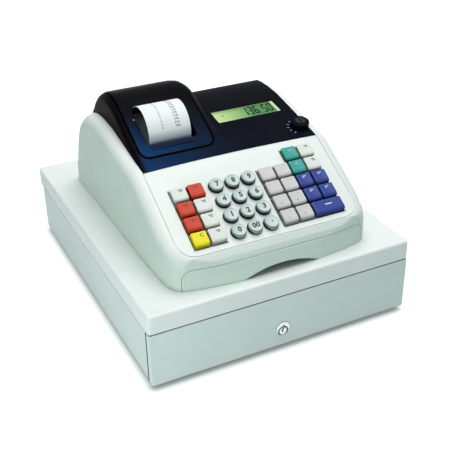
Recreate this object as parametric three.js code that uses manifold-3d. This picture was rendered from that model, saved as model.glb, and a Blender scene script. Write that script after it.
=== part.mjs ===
// Electronic cash register on a steel cash drawer.
// Millimetres. X runs across, Y from the drawer's front to its back, Z up from the table.
import * as THREE from 'three';
import { mergeVertices } from 'three/addons/utils/BufferGeometryUtils.js';
import Module from 'manifold-3d';

const wasm = await Module();
wasm.setup();

// Gaps and overruns
const CLEAR = 0.3; // seating and running gap
const SLIDE = 0.5; // gap round a hinged or sliding panel
const OVER = 6; // how far every cut runs past its piece
const JOIN = 0.6; // how far joined bosses sink into their carrier
const FINE = 0.02; // how far facets may stray when small ones are merged

// Cash drawer
const BOX = {
  width: 330, depth: 403, foot: 6.5, height: 91, sheet: 1.6,
  rim: 23, corner: 4, edge: 3, footRadius: 11, footInset: 25,
};
const LID_TOP = BOX.foot + BOX.height;
const PANEL = { thick: 10.5, behind: 1, top: 1.3, side: 0.4, edge: 1.4, corner: 2, blockX: 110, block: 14 };
const LOCK = {
  x: -4.3, z: 30.2, radius: 7.3, flange: 8.5, proud: 1.5, length: 6.4,
  slotWidth: 2.2, slotLength: 9, slotDepth: 4, slotTurn: 15, camWidth: 9, camReach: 15, camThick: 1.4,
  bossWall: 2.6,
};
const RUNNER = { height: 14, thick: 2, reach: 9.5, inset: 3 };
const TUB = { back: 385, height: 50, side: 5.1 };
const DRAWER_TRAVEL = 270;
const TRAY = {
  length: 279.5, height: 45.5, wall: 2.4, floor: 2, coinLength: 84, coinCups: 5, noteBays: 4,
  cupCorner: 10, bayCorner: 4, cupRise: 9, cupTaper: 7, cupEase: 1.5, corner: 3,
};
const CLIP = {
  axle: 2.5, axleLength: 34, arm: 88, width: 14, thick: 2.6, paddle: 46, paddleDepth: 12,
  ear: 4, earReach: 11, drop: 21, below: 7.5, ahead: 7, tipGap: 0.7,
};

// Register: a lip at the front, a sloping key deck, then low shoulders to the back
const REG = { halfWidth: 127.8, front: 14.6, wall: 2.6, shoulder: 116.9, fillet: 15.3 };
const LIP = { depth: 9.8, height: 38.5 };
const DECK = { run: 102.9, tilt: 29.3 };
const REAR = { length: 225.5 };
const CORNER = { depth: 45, backDepth: 26 };
const lipShares = [[0, 0.29], [0.07, 0.39], [0.22, 0.615], [0.51, 0.826], [1, 1]];
const rearShares = [
  [0.057, 0.8487], [0.105, 0.863], [0.167, 0.888], [0.239, 0.918], [0.335, 0.953], [0.431, 0.984],
  [0.541, 1], [0.607, 0.997], [0.655, 0.986], [0.703, 0.965], [0.751, 0.918], [0.794, 0.849],
  [0.828, 0.756], [0.852, 0.654], [0.875, 0.544], [0.899, 0.438], [0.937, 0.276], [0.976, 0.11], [1, 0.03],
];
const cornerShares = [
  [0, 0.254], [0.016, 0.37], [0.053, 0.506], [0.129, 0.709], [0.233, 0.878], [0.347, 0.933],
  [0.553, 0.971], [1, 0.992], [2.07, 1],
];
const backShares = [[0, 0.925], [0.08, 0.952], [0.3, 0.981], [0.62, 0.996], [1, 1]];
const filletShares = [[0, 0.4], [0.22, 0.8], [0.56, 1], [1, 1]];

// Smoked cover: a thin pane over the display and a raised block over the printer and its roll
const COVER = { halfWidth: 112.2, frontStep: 1.3, rearStep: 4.5, reach: 145, tail: 8, bow: 2.7,
  edge: 2.2, wall: 2.6 };
const HUMP = { radius: 59.3, y: 239.9, right: -1, leftEdge: 11, rightEdge: 22, tail: 75 };
const HATCH = {
  left: -105, right: -14.2, front: 144.5, corner: 10, gap: 1.6, rearGap: 0.5, hinge: 46, barrel: 3.5,
  barrelInset: 13, swing: 4.9,
};
const SLOT = { left: -92.8, right: -30, front: 158.8, back: 205.5, corner: 4 };
const SEAT = { left: -104, right: -8, front: 141, back: 288, corner: 8 };
const LCD = {
  x: 53.4, y: 198.5, width: 85.3, length: 24.3, glass: 1.9, lift: 0.5, corner: 1.2,
  bodyWidth: 76, bodyLength: 18, bodyDepth: 12,
};
const MODE = { x: 100.6, y: 148.5, ring: 11.2, rotor: 6.4, height: 8, proud: 0.8, depth: 20,
  slotWidth: 1.8, slotLength: 8 };

// Printer and paper
const PAPER = { x: -63.6, width: 52, thick: 0.3 };
const ROLL = { y: 246, z: 185, radius: 34, core: 6.3 };
const ROLLER = { z: 188, radius: 7, length: 54, axle: 2.4, wheel: 6, wheelWidth: 4 };
const CURL = { y: 190, z: 216, radius: 30, end: 54 };
const FRAME = { plate: 3, inner: 59, front: 152, back: 262, top: 194, base: 3, pin: 5.7 };
const HEAD = { y: 177, length: 12, z: 183, height: 12 };
const BAR = { y: 152.6, length: 5.2, thick: 1.2, sink: 0.4, teeth: 18, tooth: 1 };

// Keys: three blocks of low caps in rows and columns, measured on the sloping deck
const KEY = {
  base: 18, apart: 2.2, slope: 1, height: 5.5, crown: 0.8, dish: 0.4, corner: 2.2, back: 0.5, roll: 4.6,
  rollStart: 2, round: 8.8, roundSlope: 0.7, roundHeight: 6.5, skirt: 6, stem: 5, stemLength: 5.5, travel: 3,
  hole: 0.35,
};
// A square cap's top rolls down at the front: height, front and side shares, from the roll's start
const rollShares = [[0, 0, 0], [0.6, 0.2, 0.2], [0.9, 0.55, 0.5], [1, 1, 1]];
const KEYBOARD = { x: 0.2, middle: 48.8, leftAisle: 5.1, rightAisle: 3.3, sideRow: -0.2, numberRow: 0.8 };
const DECK_LINE = { halfWidth: 112, start: 1.5, corner: 20, width: 0.7, depth: 0.8 };
const FRONT_LINE = { halfWidth: 114, height: 26.2, corner: 12, width: 0.7, depth: 0.8 };
const RECESS = { x: 3, halfWidth: 48, height: 10.7, depth: 20, wall: 1.6 };

// Boards and base
const BOARD = { halfWidth: 104, start: 4, length: 110, thick: 1.6, post: 2.3, under: 3.6 };
const PAN = { thick: 3 };
const MAIN = {
  x: 12, width: 98, y: 195, length: 112, post: 3, postHeight: 8, thick: 1.6, postInset: 8,
  coilX: 22, coilWidth: 50, coilLength: 44, coilHeight: 40, coilInset: 18,
};
const GLAND = { x: 80, z: 22, radius: 7, bore: 3.4, depth: 4, proud: 3 };

const rad = THREE.MathUtils.degToRad;
const tilt = rad(DECK.tilt);
const FRONT_Y = -(BOX.depth - LOCK.proud) / 2;

const machine = new THREE.Group();
machine.position.y = FRONT_Y;

const COLOURS = {
  steel: [0xb9c6bf, 0.45, 0.35], lid: [0xeaf0ec, 0.5, 0.1], shell: [0xe8eeea, 0.55, 0],
  smoked: [0x141418, 0.12, 0], chrome: [0xc9ccce, 0.2, 1], zinc: [0xaab0b0, 0.4, 0.8],
  tray: [0x2c3132, 0.6, 0], dark: [0x3a4643, 0.6, 0], paper: [0xf4f4ef, 0.85, 0], glass: [0x93c86c, 0.15, 0],
  rubber: [0x23272a, 0.8, 0], board: [0x2f6b3c, 0.6, 0], red: [0xd64a31, 0.45, 0], white: [0xe4e6e2, 0.45, 0],
  yellow: [0xe6d81c, 0.45, 0], green: [0x3fa695, 0.45, 0], blue: [0x34429c, 0.45, 0],
  grey: [0xd3cdc6, 0.45, 0],
  number: [0xb4c6c0, 0.45, 0],
};

// Solids

// A closed solid from a geometry, with its faces turned outward
function solid(geometry) {
  geometry.deleteAttribute('normal');
  geometry.deleteAttribute('uv');
  const merged = mergeVertices(geometry, 1e-5);
  const points = merged.attributes.position.array;
  const faces = merged.index.array.slice();
  let volume = 0;
  const [a, b, c] = [new THREE.Vector3(), new THREE.Vector3(), new THREE.Vector3()];
  for (let i = 0; i < faces.length; i += 3) {
    a.fromArray(points, faces[i] * 3);
    b.fromArray(points, faces[i + 1] * 3);
    c.fromArray(points, faces[i + 2] * 3);
    volume += a.dot(b.cross(c));
  }
  if (volume < 0) {
    for (let i = 0; i < faces.length; i += 3) {
      [faces[i], faces[i + 1]] = [faces[i + 1], faces[i]];
    }
  }
  const kept = [];
  for (let i = 0; i < faces.length; i += 3) {
    const [p, q, r] = [faces[i], faces[i + 1], faces[i + 2]];
    if (p !== q && q !== r && r !== p) kept.push(p, q, r);
  }
  return new wasm.Manifold(new wasm.Mesh({
    numProp: 3, vertProperties: new Float32Array(points), triVerts: new Uint32Array(kept),
  }));
}

function geometryOf(shape) {
  const mesh = shape.getMesh();
  const geometry = new THREE.BufferGeometry();
  geometry.setAttribute('position', new THREE.BufferAttribute(mesh.vertProperties, 3));
  geometry.setIndex(new THREE.BufferAttribute(mesh.triVerts, 1));
  geometry.computeVertexNormals();
  return geometry;
}

function meshOf(name, geometry, colour, carrier) {
  const [color, roughness, metalness] = COLOURS[colour];
  const mesh = new THREE.Mesh(geometry, new THREE.MeshStandardMaterial({ color, roughness, metalness }));
  mesh.name = name;
  carrier.add(mesh);
  return mesh;
}

function node(name, shape, colour) {
  return meshOf(name, geometryOf(shape.simplify(FINE)), colour, machine);
}

function joined(shapes) {
  return shapes.reduce((whole, shape) => whole.add(shape));
}

function box(x0, x1, y0, y1, z0, z1) {
  const geometry = new THREE.BoxGeometry(x1 - x0, y1 - y0, z1 - z0);
  geometry.translate((x0 + x1) / 2, (y0 + y1) / 2, (z0 + z1) / 2);
  return geometry;
}

function boxSolid(...ends) {
  return solid(box(...ends));
}

// A skin through rings of equal count, closed by a fan at each end
function skin(rings) {
  const count = rings[0].length;
  const position = rings.flat().flatMap((point) => point.toArray());
  const index = [];
  for (let i = 0; i + 1 < rings.length; i += 1) {
    for (let j = 0; j < count; j += 1) {
      const [a, b] = [i * count + j, i * count + (j + 1) % count];
      index.push(a, b, b + count, a, b + count, a + count);
    }
  }
  const last = (rings.length - 1) * count;
  for (let j = 1; j + 1 < count; j += 1) {
    index.push(0, j + 1, j, last, last + j, last + j + 1);
  }
  const geometry = new THREE.BufferGeometry();
  geometry.setAttribute('position', new THREE.Float32BufferAttribute(position, 3));
  geometry.setIndex(index);
  return geometry;
}

// A block with rounded upright corners; each level is [height, inset]
function rounded(x0, x1, y0, y1, corner, levels, steps = 4) {
  const rings = levels.map(([z, inset]) => {
    const [hx, hy] = [(x1 - x0) / 2 - inset, (y1 - y0) / 2 - inset];
    const radius = Math.min(Math.max(corner - inset, corner / 4), hx, hy);
    const ring = [];
    for (let quarter = 0; quarter < 4; quarter += 1) {
      for (let i = 0; i <= steps; i += 1) {
        const angle = (quarter + i / steps) * Math.PI / 2;
        const sideX = quarter === 0 || quarter === 3 ? 1 : -1;
        const sideY = quarter < 2 ? 1 : -1;
        ring.push(new THREE.Vector3(
          (x0 + x1) / 2 + sideX * (hx - radius) + radius * Math.cos(angle),
          (y0 + y1) / 2 + sideY * (hy - radius) + radius * Math.sin(angle), z));
      }
    }
    return ring;
  });
  return skin(rings);
}

// A round bar between two ends along X, Y or Z
function bar(axis, radius, from, to, u, v, sides = 20) {
  const geometry = new THREE.CylinderGeometry(radius, radius, to - from, sides);
  if (axis === 'x') {
    geometry.rotateZ(Math.PI / 2);
    geometry.translate((from + to) / 2, u, v);
  } else if (axis === 'y') {
    geometry.translate(u, (from + to) / 2, v);
  } else {
    geometry.rotateX(Math.PI / 2);
    geometry.translate(u, v, (from + to) / 2);
  }
  return geometry;
}

// A side outline of [y, z] points drawn across from x0 to x1
function across(outline, x0, x1) {
  const shape = new THREE.Shape(outline.map(([y, z]) => new THREE.Vector2(y, z)));
  const geometry = new THREE.ExtrudeGeometry(shape, { depth: x1 - x0, bevelEnabled: false });
  const basis = new THREE.Matrix4().makeBasis(
    new THREE.Vector3(0, 1, 0), new THREE.Vector3(0, 0, 1), new THREE.Vector3(1, 0, 0));
  geometry.applyMatrix4(basis.setPosition(x0, 0, 0));
  return geometry;
}

// A plan outline of [x, y] points drawn up from z0 to z1
function upward(outline, z0, z1) {
  const shape = new THREE.Shape(outline.map(([x, y]) => new THREE.Vector2(x, y)));
  const geometry = new THREE.ExtrudeGeometry(shape, { depth: z1 - z0, bevelEnabled: false });
  geometry.translate(0, 0, z0);
  return geometry;
}

// An arched body from stations along Y: flat bottom, upright sides, rounded shoulders
function arched(stations, steps = 4) {
  return skin(stations.map(({ y, x0, x1, top, bottom, left, right }) => {
    const ring = [new THREE.Vector3(x0, y, bottom)];
    for (let i = 0; i <= steps; i += 1) {
      const angle = i / steps * Math.PI / 2;
      ring.push(new THREE.Vector3(
        x0 + left - left * Math.cos(angle), y, top - left + left * Math.sin(angle)));
    }
    for (let i = 0; i <= steps; i += 1) {
      const angle = i / steps * Math.PI / 2;
      ring.push(new THREE.Vector3(
        x1 - right + right * Math.sin(angle), y, top - right + right * Math.cos(angle)));
    }
    ring.push(new THREE.Vector3(x1, y, bottom));
    return ring;
  }));
}

function between(table, at) {
  if (at <= table[0][0]) return table[0][1];
  for (let i = 1; i < table.length; i += 1) {
    if (at <= table[i][0]) {
      const [[a, u], [b, v]] = [table[i - 1], table[i]];
      return u + (v - u) * (at - a) / (b - a);
    }
  }
  return table[table.length - 1][1];
}

// Register profile: [y, z] from the front lip over the deck and the shoulders to the back
const deckLow = { y: REG.front + LIP.depth, z: LID_TOP + LIP.height };
const deckHigh = { y: deckLow.y + DECK.run, z: deckLow.z + DECK.run * Math.tan(tilt) };
const REG_BACK = deckHigh.y + REAR.length;
const profile = [
  ...lipShares.map(([u, v]) => [REG.front + u * LIP.depth, LID_TOP + v * LIP.height]),
  [(deckLow.y * 2 + deckHigh.y) / 3, (deckLow.z * 2 + deckHigh.z) / 3],
  [deckHigh.y, deckHigh.z],
  ...rearShares.map(([u, v]) => [deckHigh.y + u * REAR.length, LID_TOP + v * REG.shoulder]),
];
const shoulderAt = (y) => between(profile, y);
const deckAt = (y) => deckLow.z + (y - deckLow.y) * Math.tan(tilt);

// The register's body; inset moves every face inward, or outward where it is negative
function register(inset, bottom) {
  const cornerYs = cornerShares.map(([u]) => REG.front + u * CORNER.depth);
  const backYs = backShares.map(([u]) => REG_BACK - u * CORNER.backDepth);
  const all = [...profile.map(([y]) => y), ...cornerYs, ...backYs].sort((a, b) => a - b);
  const ys = all.filter((y, i) => i === 0 || i === all.length - 1 || y - all[i - 1] > FINE);
  return solid(arched(ys.map((y) => {
    const depth = (y - REG.front) / CORNER.depth;
    const fromBack = (REG_BACK - y) / CORNER.backDepth;
    const half = REG.halfWidth * between(cornerShares, depth) * between(backShares, fromBack) - inset;
    const height = shoulderAt(y) - LID_TOP;
    const fillet = Math.min(REG.fillet * between(filletShares, depth), height * 0.6);
    const share = (y - REG.front) / (REG_BACK - REG.front);
    const side = Math.max(fillet - inset, CLEAR);
    const top = Math.max(shoulderAt(y) - inset, bottom + side + CLEAR);
    return { y: y + inset * (1 - 2 * share), x0: -half, x1: half, top, bottom, left: side, right: side };
  })));
}

// Frames of the tilted parts
const deckFrame = new THREE.Group();
deckFrame.position.set(0, deckLow.y, deckLow.z);
deckFrame.rotation.x = tilt;
machine.add(deckFrame);
deckFrame.updateMatrix();
const onDeck = (geometry) => geometry.clone().applyMatrix4(deckFrame.matrix);

// A frame lying on the shoulder line at a place, tilted as the line is there
function shoulderFrame(x, y, reach) {
  const frame = new THREE.Group();
  const rise = shoulderAt(y + reach) - shoulderAt(y - reach);
  frame.position.set(x, y, (shoulderAt(y + reach) + shoulderAt(y - reach)) / 2);
  frame.rotation.x = Math.atan2(rise, 2 * reach);
  frame.updateMatrix();
  machine.add(frame);
  return frame;
}
const lcdFrame = shoulderFrame(LCD.x, LCD.y, LCD.length / 2);
const modeFrame = shoulderFrame(MODE.x, MODE.y, MODE.ring);

// Drawer case, lid and front

const lidLevels = [
  [LID_TOP - BOX.rim, 0], [LID_TOP - BOX.edge, 0], [LID_TOP - BOX.edge * 0.3, BOX.edge * 0.3],
    [LID_TOP, BOX.edge],
];
const lidOuter = solid(rounded(-BOX.width / 2, BOX.width / 2, 0, BOX.depth, BOX.corner, lidLevels));
const lidInnerX = BOX.width / 2 - BOX.sheet;
const lidInner = solid(rounded(
  -lidInnerX, lidInnerX, BOX.sheet, BOX.depth - BOX.sheet, BOX.corner - BOX.sheet,
  [[LID_TOP - BOX.rim - OVER, 0], [LID_TOP - BOX.edge, 0], [LID_TOP - BOX.sheet, BOX.edge - BOX.sheet]]));
node('case_lid', lidOuter.subtract(lidInner), 'lid');

const caseX = lidInnerX - CLEAR;
const caseFront = PANEL.thick + PANEL.behind;
const caseBack = BOX.depth - BOX.sheet - CLEAR;
const caseTop = LID_TOP - BOX.sheet - CLEAR;
const caseCorner = BOX.corner - BOX.sheet - CLEAR;
const caseBody = solid(rounded(
  -caseX, caseX, caseFront, caseBack, caseCorner, [[BOX.foot, 0], [caseTop - BOX.edge, 0]]))
  .subtract(boxSolid(
    -caseX + BOX.sheet, caseX - BOX.sheet, caseFront - OVER, caseBack - BOX.sheet, BOX.foot + BOX.sheet,
      caseTop + OVER));
const runners = [-1, 1].map((side) => {
  const ends = [side * (caseX - BOX.sheet / 2),
    side * (caseX - BOX.sheet - RUNNER.reach)].sort((a, b) => a - b);
  return boxSolid(
    ends[0], ends[1], caseFront + RUNNER.inset, caseBack - BOX.sheet / 2, RUNNER.height,
      RUNNER.height + RUNNER.thick);
});
const feet = [-1, 1].flatMap((side) => [BOX.footInset + caseFront, caseBack - BOX.footInset].map((y) => solid(
  bar('z', BOX.footRadius, 0, BOX.foot + JOIN, side * (caseX - BOX.footInset), y))));
node('drawer_case', joined([caseBody, ...runners, ...feet]), 'steel');

// The front is a folded pan, closed behind by the tub
const panelX = BOX.width / 2 - PANEL.side;
const panelTop = LID_TOP - BOX.rim - PANEL.top;
const toFront = new THREE.Matrix4().makeRotationX(Math.PI / 2);
function facing(x0, x1, z0, z1, corner, levels) {
  return rounded(x0, x1, z0, z1, corner, levels.map(([y, inset]) => [-y, inset])).applyMatrix4(toFront);
}
const panOuter = solid(facing(
  -panelX, panelX, BOX.foot, panelTop, PANEL.corner,
  [[0, PANEL.edge], [PANEL.edge * 0.3, PANEL.edge * 0.3], [PANEL.edge, 0], [PANEL.thick, 0]]));
const panInner = boxSolid(
  -panelX + BOX.sheet, panelX - BOX.sheet, BOX.sheet, PANEL.thick + OVER, BOX.foot + BOX.sheet,
    panelTop - BOX.sheet);
const lockBoss = solid(bar(
  'y', LOCK.radius + CLEAR + LOCK.bossWall, BOX.sheet - JOIN, LOCK.length - JOIN - CLEAR, LOCK.x, LOCK.z));
const lockBore = solid(bar('y', LOCK.radius + CLEAR, -OVER, PANEL.thick, LOCK.x, LOCK.z));
const blocks = [-1, 1].map((side) => boxSolid(
  side * PANEL.blockX - PANEL.block / 2, side * PANEL.blockX + PANEL.block / 2, BOX.sheet - JOIN, PANEL.thick,
  BOX.foot + PANEL.block, panelTop - PANEL.block));
node('drawer_front', joined([panOuter.subtract(panInner), lockBoss, ...blocks]).subtract(lockBore), 'steel');

// The lock: a flanged barrel with a key slot in front and a cam behind
const lockBarrel = solid(bar('y', LOCK.radius, -JOIN, LOCK.length, LOCK.x, LOCK.z));
const lockFlange = solid(bar('y', LOCK.flange, -LOCK.proud, -CLEAR, LOCK.x, LOCK.z, 28));
const lockCam = boxSolid(
  LOCK.x - LOCK.camWidth / 2, LOCK.x + LOCK.camWidth / 2, LOCK.length - JOIN, LOCK.length + LOCK.camThick,
  LOCK.z - LOCK.camReach, LOCK.z + LOCK.radius);
const lockSlot = solid(box(
  -LOCK.slotWidth / 2, LOCK.slotWidth / 2, -LOCK.proud - OVER, LOCK.slotDepth - LOCK.proud,
  -LOCK.slotLength / 2, LOCK.slotLength / 2).rotateY(rad(LOCK.slotTurn)).translate(LOCK.x, 0, LOCK.z));
node('drawer_lock', joined([lockBarrel, lockFlange, lockCam]).subtract(lockSlot), 'chrome');

// Drawer tub, cash tray and note clips

const tubX = caseX - BOX.sheet - TUB.side;
const tubBase = RUNNER.height + RUNNER.thick + CLEAR;
const tubTop = tubBase + TUB.height;
const tub = boxSolid(-tubX, tubX, PANEL.thick, TUB.back, tubBase, tubTop).subtract(boxSolid(
  -tubX + BOX.sheet, tubX - BOX.sheet, PANEL.thick + BOX.sheet, TUB.back - BOX.sheet,
    tubBase + BOX.sheet, tubTop + OVER));
node('drawer_tub', tub, 'zinc');

const trayX = tubX - BOX.sheet - SLIDE;
const trayFront = PANEL.thick + BOX.sheet + SLIDE;
const trayBack = trayFront + TRAY.length;
const trayBase = tubBase + BOX.sheet;
const trayTop = trayBase + TRAY.height;
const trayFloor = trayBase + TRAY.floor;
const coinBack = trayFront + TRAY.wall + TRAY.coinLength;
const bayFront = coinBack + TRAY.wall;
const bayBack = trayBack - TRAY.wall;
const cupWidth = (2 * trayX - (TRAY.coinCups + 1) * TRAY.wall) / TRAY.coinCups;
const bayWidth = (2 * trayX - (TRAY.noteBays + 1) * TRAY.wall) / TRAY.noteBays;
const cupLeft = (i) => -trayX + TRAY.wall + i * (cupWidth + TRAY.wall);
const bayLeft = (i) => -trayX + TRAY.wall + i * (bayWidth + TRAY.wall);
let tray = solid(rounded(-trayX, trayX, trayFront, trayBack, TRAY.corner, [[trayBase, 0], [trayTop, 0]], 2));
for (let i = 0; i < TRAY.coinCups; i += 1) {
  tray = tray.subtract(solid(rounded(
    cupLeft(i), cupLeft(i) + cupWidth, trayFront + TRAY.wall, coinBack, TRAY.cupCorner,
    [[trayFloor, TRAY.cupTaper], [trayFloor + TRAY.cupRise * 0.3, TRAY.cupTaper * 0.5],
      [trayFloor + TRAY.cupRise, TRAY.cupEase], [trayTop + OVER, 0]], 2)));
}
for (let i = 0; i < TRAY.noteBays; i += 1) {
  tray = tray.subtract(solid(rounded(
    bayLeft(i), bayLeft(i) + bayWidth, bayFront, bayBack, TRAY.bayCorner,
      [[trayFloor, 0], [trayTop + OVER, 0]], 2)));
}
const clipY = bayBack - CLIP.ahead;
const clipZ = trayTop - CLIP.below;
const earIn = CLIP.axleLength / 2 - CLIP.ear;
for (let i = 0; i < TRAY.noteBays; i += 1) {
  const middle = bayLeft(i) + bayWidth / 2;
  for (const side of [-1, 1]) {
    const ends = [middle + side * earIn, middle + side * (earIn - CLIP.ear)].sort((a, b) => a - b);
    tray = tray.add(boxSolid(
      ends[0], ends[1], bayBack - CLIP.earReach, bayBack + JOIN, clipZ - CLIP.axle * 2, trayTop));
  }
  tray = tray.subtract(solid(bar(
    'x', CLIP.axle + CLEAR, middle - earIn - JOIN, middle + earIn + JOIN, clipY, clipZ, 16)));
}
node('cash_tray', tray, 'tray');

// Each clip: an axle in two ears, an arm and a wide paddle that presses the notes
const clipShape = joined([
  solid(bar('x', CLIP.axle, -CLIP.axleLength / 2, CLIP.axleLength / 2, 0, 0, 16)),
  boxSolid(-CLIP.width / 2, CLIP.width / 2, -CLIP.arm, 0, -CLIP.thick / 2, CLIP.thick / 2),
  boxSolid(-CLIP.paddle / 2, CLIP.paddle / 2, -CLIP.arm, -CLIP.arm + CLIP.paddleDepth, -CLIP.thick / 2,
  CLIP.thick / 2),
]);
const clipFall = Math.asin((clipZ - trayFloor - CLIP.tipGap - CLIP.thick / 2) / CLIP.arm);
for (let i = 0; i < TRAY.noteBays; i += 1) {
  const clip = meshOf(`note_clip_${i + 1}`, geometryOf(clipShape), 'rubber', machine);
  clip.position.set(bayLeft(i) + bayWidth / 2, clipY, clipZ);
  clip.rotation.x = clipFall;
}

// Smoked cover: the pane and the raised block are one shape, cut into a fixed part and a hatch

const regOuter = register(0, LID_TOP);
const regRaised = register(-CLEAR, LID_TOP - OVER);
const coverFront = deckHigh.y + COVER.bow + CLEAR;
const paneBack = coverFront + COVER.reach;
const paneStep = (y) => COVER.frontStep + (COVER.rearStep - COVER.frontStep)
  * Math.min(Math.max((y - coverFront) / (paneBack - coverFront), 0), 1);
const coverBottom = (deckHigh.z + LID_TOP) / 2;
const paneYs = [coverFront - COVER.bow, ...profile.map(([y]) => y)
  .filter((y) => y > coverFront && y < paneBack), paneBack];
const paneStations = paneYs.map((y) => ({ y, top: shoulderAt(y) + paneStep(y) }));
paneStations.push(
  { y: paneBack + COVER.tail * 0.6, top: shoulderAt(paneBack + COVER.tail * 0.6) + COVER.rearStep * 0.6 },
  { y: paneBack + COVER.tail, top: shoulderAt(paneBack + COVER.tail) - COVER.edge });
const pane = solid(arched(paneStations.map(({ y, top }) => ({
  y, top, bottom: coverBottom, x0: -COVER.halfWidth, x1: COVER.halfWidth, left: COVER.edge, right: COVER.edge,
})), 3));

// Block profile: the deck's plane carried on, then round over the paper roll
const humpZ = deckAt(HUMP.y) - HUMP.radius / Math.cos(tilt);
function blockProfile(inset) {
  const radius = HUMP.radius - inset;
  const line = (y) => deckAt(y) - inset / Math.cos(tilt);
  const start = HUMP.y - radius * Math.sin(tilt);
  const first = coverFront - COVER.bow;
  const points = [first, first * 0.75 + start * 0.25, (first + start) / 2].map((y) => [y, line(y)]);
  const steps = 12;
  for (let i = 0; i <= steps; i += 1) {
    const angle = -tilt + (rad(HUMP.tail) + tilt) * i / steps;
    points.push([HUMP.y + radius * Math.sin(angle), humpZ + radius * Math.cos(angle)]);
  }
  return points;
}
function block(inset) {
  return solid(arched(blockProfile(inset).map(([y, top]) => {
    const rise = Math.max(top + inset - shoulderAt(y) - COVER.frontStep, COVER.frontStep);
    return {
      y: y + (y < HUMP.y ? inset : 0), top, bottom: coverBottom,
      x0: -COVER.halfWidth + inset, x1: HUMP.right - inset,
      left: Math.max(Math.min(HUMP.leftEdge, rise) - inset, CLEAR),
      right: Math.max(Math.min(HUMP.rightEdge, rise) - inset, CLEAR),
    };
  })));
}
const bowed = [];
for (let i = 0; i <= 8; i += 1) {
  const share = i / 4 - 1;
  bowed.push([share * COVER.halfWidth, coverFront - COVER.bow * share * share]);
}
const humpBack = HUMP.y + HUMP.radius;
const coverPlan = solid(upward(
  [...bowed, [COVER.halfWidth, humpBack], [-COVER.halfWidth, humpBack]], coverBottom,
    humpZ + HUMP.radius + OVER));
const coverShell = pane.add(block(0)).subtract(block(COVER.wall)).subtract(regRaised).intersect(coverPlan);

// The hatch's hinge barrel lies just under the hump's back face
const hinge = {
  y: HUMP.y + (HUMP.radius - HATCH.barrel) * Math.sin(rad(HATCH.hinge)),
  z: humpZ + (HUMP.radius - HATCH.barrel) * Math.cos(rad(HATCH.hinge)),
};
const normal = [Math.sin(rad(HATCH.hinge)), Math.cos(rad(HATCH.hinge))];
function hatchPlan(grow, behind) {
  const plan = solid(rounded(
    HATCH.left - grow, HATCH.right + grow, HATCH.front - grow, humpBack, HATCH.corner + grow,
    [[coverBottom - OVER, 0], [humpZ + HUMP.radius + OVER, 0]]));
  const corners = [[-1, 0], [1, 0], [1, 1], [-1, 1]].map(([rise, back]) => [
    hinge.y + normal[0] * rise * HUMP.radius + normal[1] * (behind + back * HUMP.radius),
    hinge.z + normal[1] * rise * HUMP.radius - normal[0] * (behind + back * HUMP.radius),
  ]);
  return plan.subtract(solid(across(corners, HATCH.left - OVER, HATCH.right + OVER)));
}
const barrel = solid(bar(
  'x', HATCH.barrel, HATCH.left + HATCH.barrelInset, HATCH.right - HATCH.barrelInset, hinge.y, hinge.z));
const barrelRoom = solid(bar(
  'x', HATCH.swing, HATCH.left - HATCH.gap, HATCH.right + HATCH.gap, hinge.y, hinge.z));
const slot = solid(rounded(
  SLOT.left, SLOT.right, SLOT.front, SLOT.back, SLOT.corner,
  [[coverBottom - OVER, 0], [humpZ + HUMP.radius + OVER, 0]]));

// Tear bar with a saw edge, lying on the hatch in front of the slot
const sawLeft = PAPER.x - PAPER.width / 2;
const sawStep = PAPER.width / BAR.teeth;
const saw = [[sawLeft, 0]];
for (let i = 0; i < BAR.teeth; i += 1) {
  saw.push([sawLeft + i * sawStep, BAR.length], [sawLeft + (i + 0.5) * sawStep, BAR.length + BAR.tooth]);
}
saw.push([sawLeft + PAPER.width, BAR.length], [sawLeft + PAPER.width, 0]);
const tearBar = upward(saw.reverse(), -BAR.sink, BAR.thick).rotateX(tilt);
tearBar.translate(0, BAR.y, deckAt(BAR.y));
const hatch = coverShell.intersect(hatchPlan(0, 0)).add(barrel).subtract(slot).add(solid(tearBar));
node('printer_cover', hatch, 'smoked');

// Display opening and key switch ring in the fixed cover
const lcdPlan = (grow, depth, rise, width, length) => rounded(
  -width / 2 - grow, width / 2 + grow, -length / 2 - grow, length / 2 + grow, LCD.corner + grow,
  [[depth, 0], [rise, 0]], 2);
const lcdWindow = solid(lcdPlan(CLEAR, -OVER, OVER * 2, LCD.width, LCD.length).applyMatrix4(lcdFrame.matrix));
const lcdPass = solid(lcdPlan(SLIDE, -OVER * 2, OVER, LCD.bodyWidth,
  LCD.bodyLength).applyMatrix4(lcdFrame.matrix));
const modeTop = paneStep(MODE.y) + MODE.height;
const ring = solid(bar('z', MODE.ring, CLEAR * 3, modeTop, 0, 0, 32).applyMatrix4(modeFrame.matrix));
const ringBore = solid(bar('z', MODE.rotor + CLEAR, -MODE.depth, modeTop + OVER, 0, 0,
  28).applyMatrix4(modeFrame.matrix));
const topCover = coverShell.subtract(hatchPlan(HATCH.gap, HATCH.rearGap)).subtract(barrelRoom)
  .subtract(lcdWindow).add(ring).subtract(ringBore);
node('top_cover', topCover, 'smoked');

// Display: a glass that lies in the cover's opening and a body that hangs through the shell
const lcd = joined([
  solid(lcdPlan(0, LCD.lift, LCD.lift + LCD.glass, LCD.width, LCD.length)),
  solid(lcdPlan(0, -LCD.bodyDepth, LCD.lift + LCD.glass / 2, LCD.bodyWidth, LCD.bodyLength)),
]);
meshOf('lcd_module', geometryOf(lcd), 'glass', lcdFrame);

// Key switch rotor with its key slot
const rotor = solid(bar('z', MODE.rotor, -MODE.depth, modeTop + MODE.proud, 0, 0, 28)).subtract(boxSolid(
  -MODE.slotWidth / 2, MODE.slotWidth / 2, -MODE.slotLength / 2, MODE.slotLength / 2, MODE.proud,
    modeTop + OVER));
meshOf('mode_lock', geometryOf(rotor), 'rubber', modeFrame);

// Keys

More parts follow.
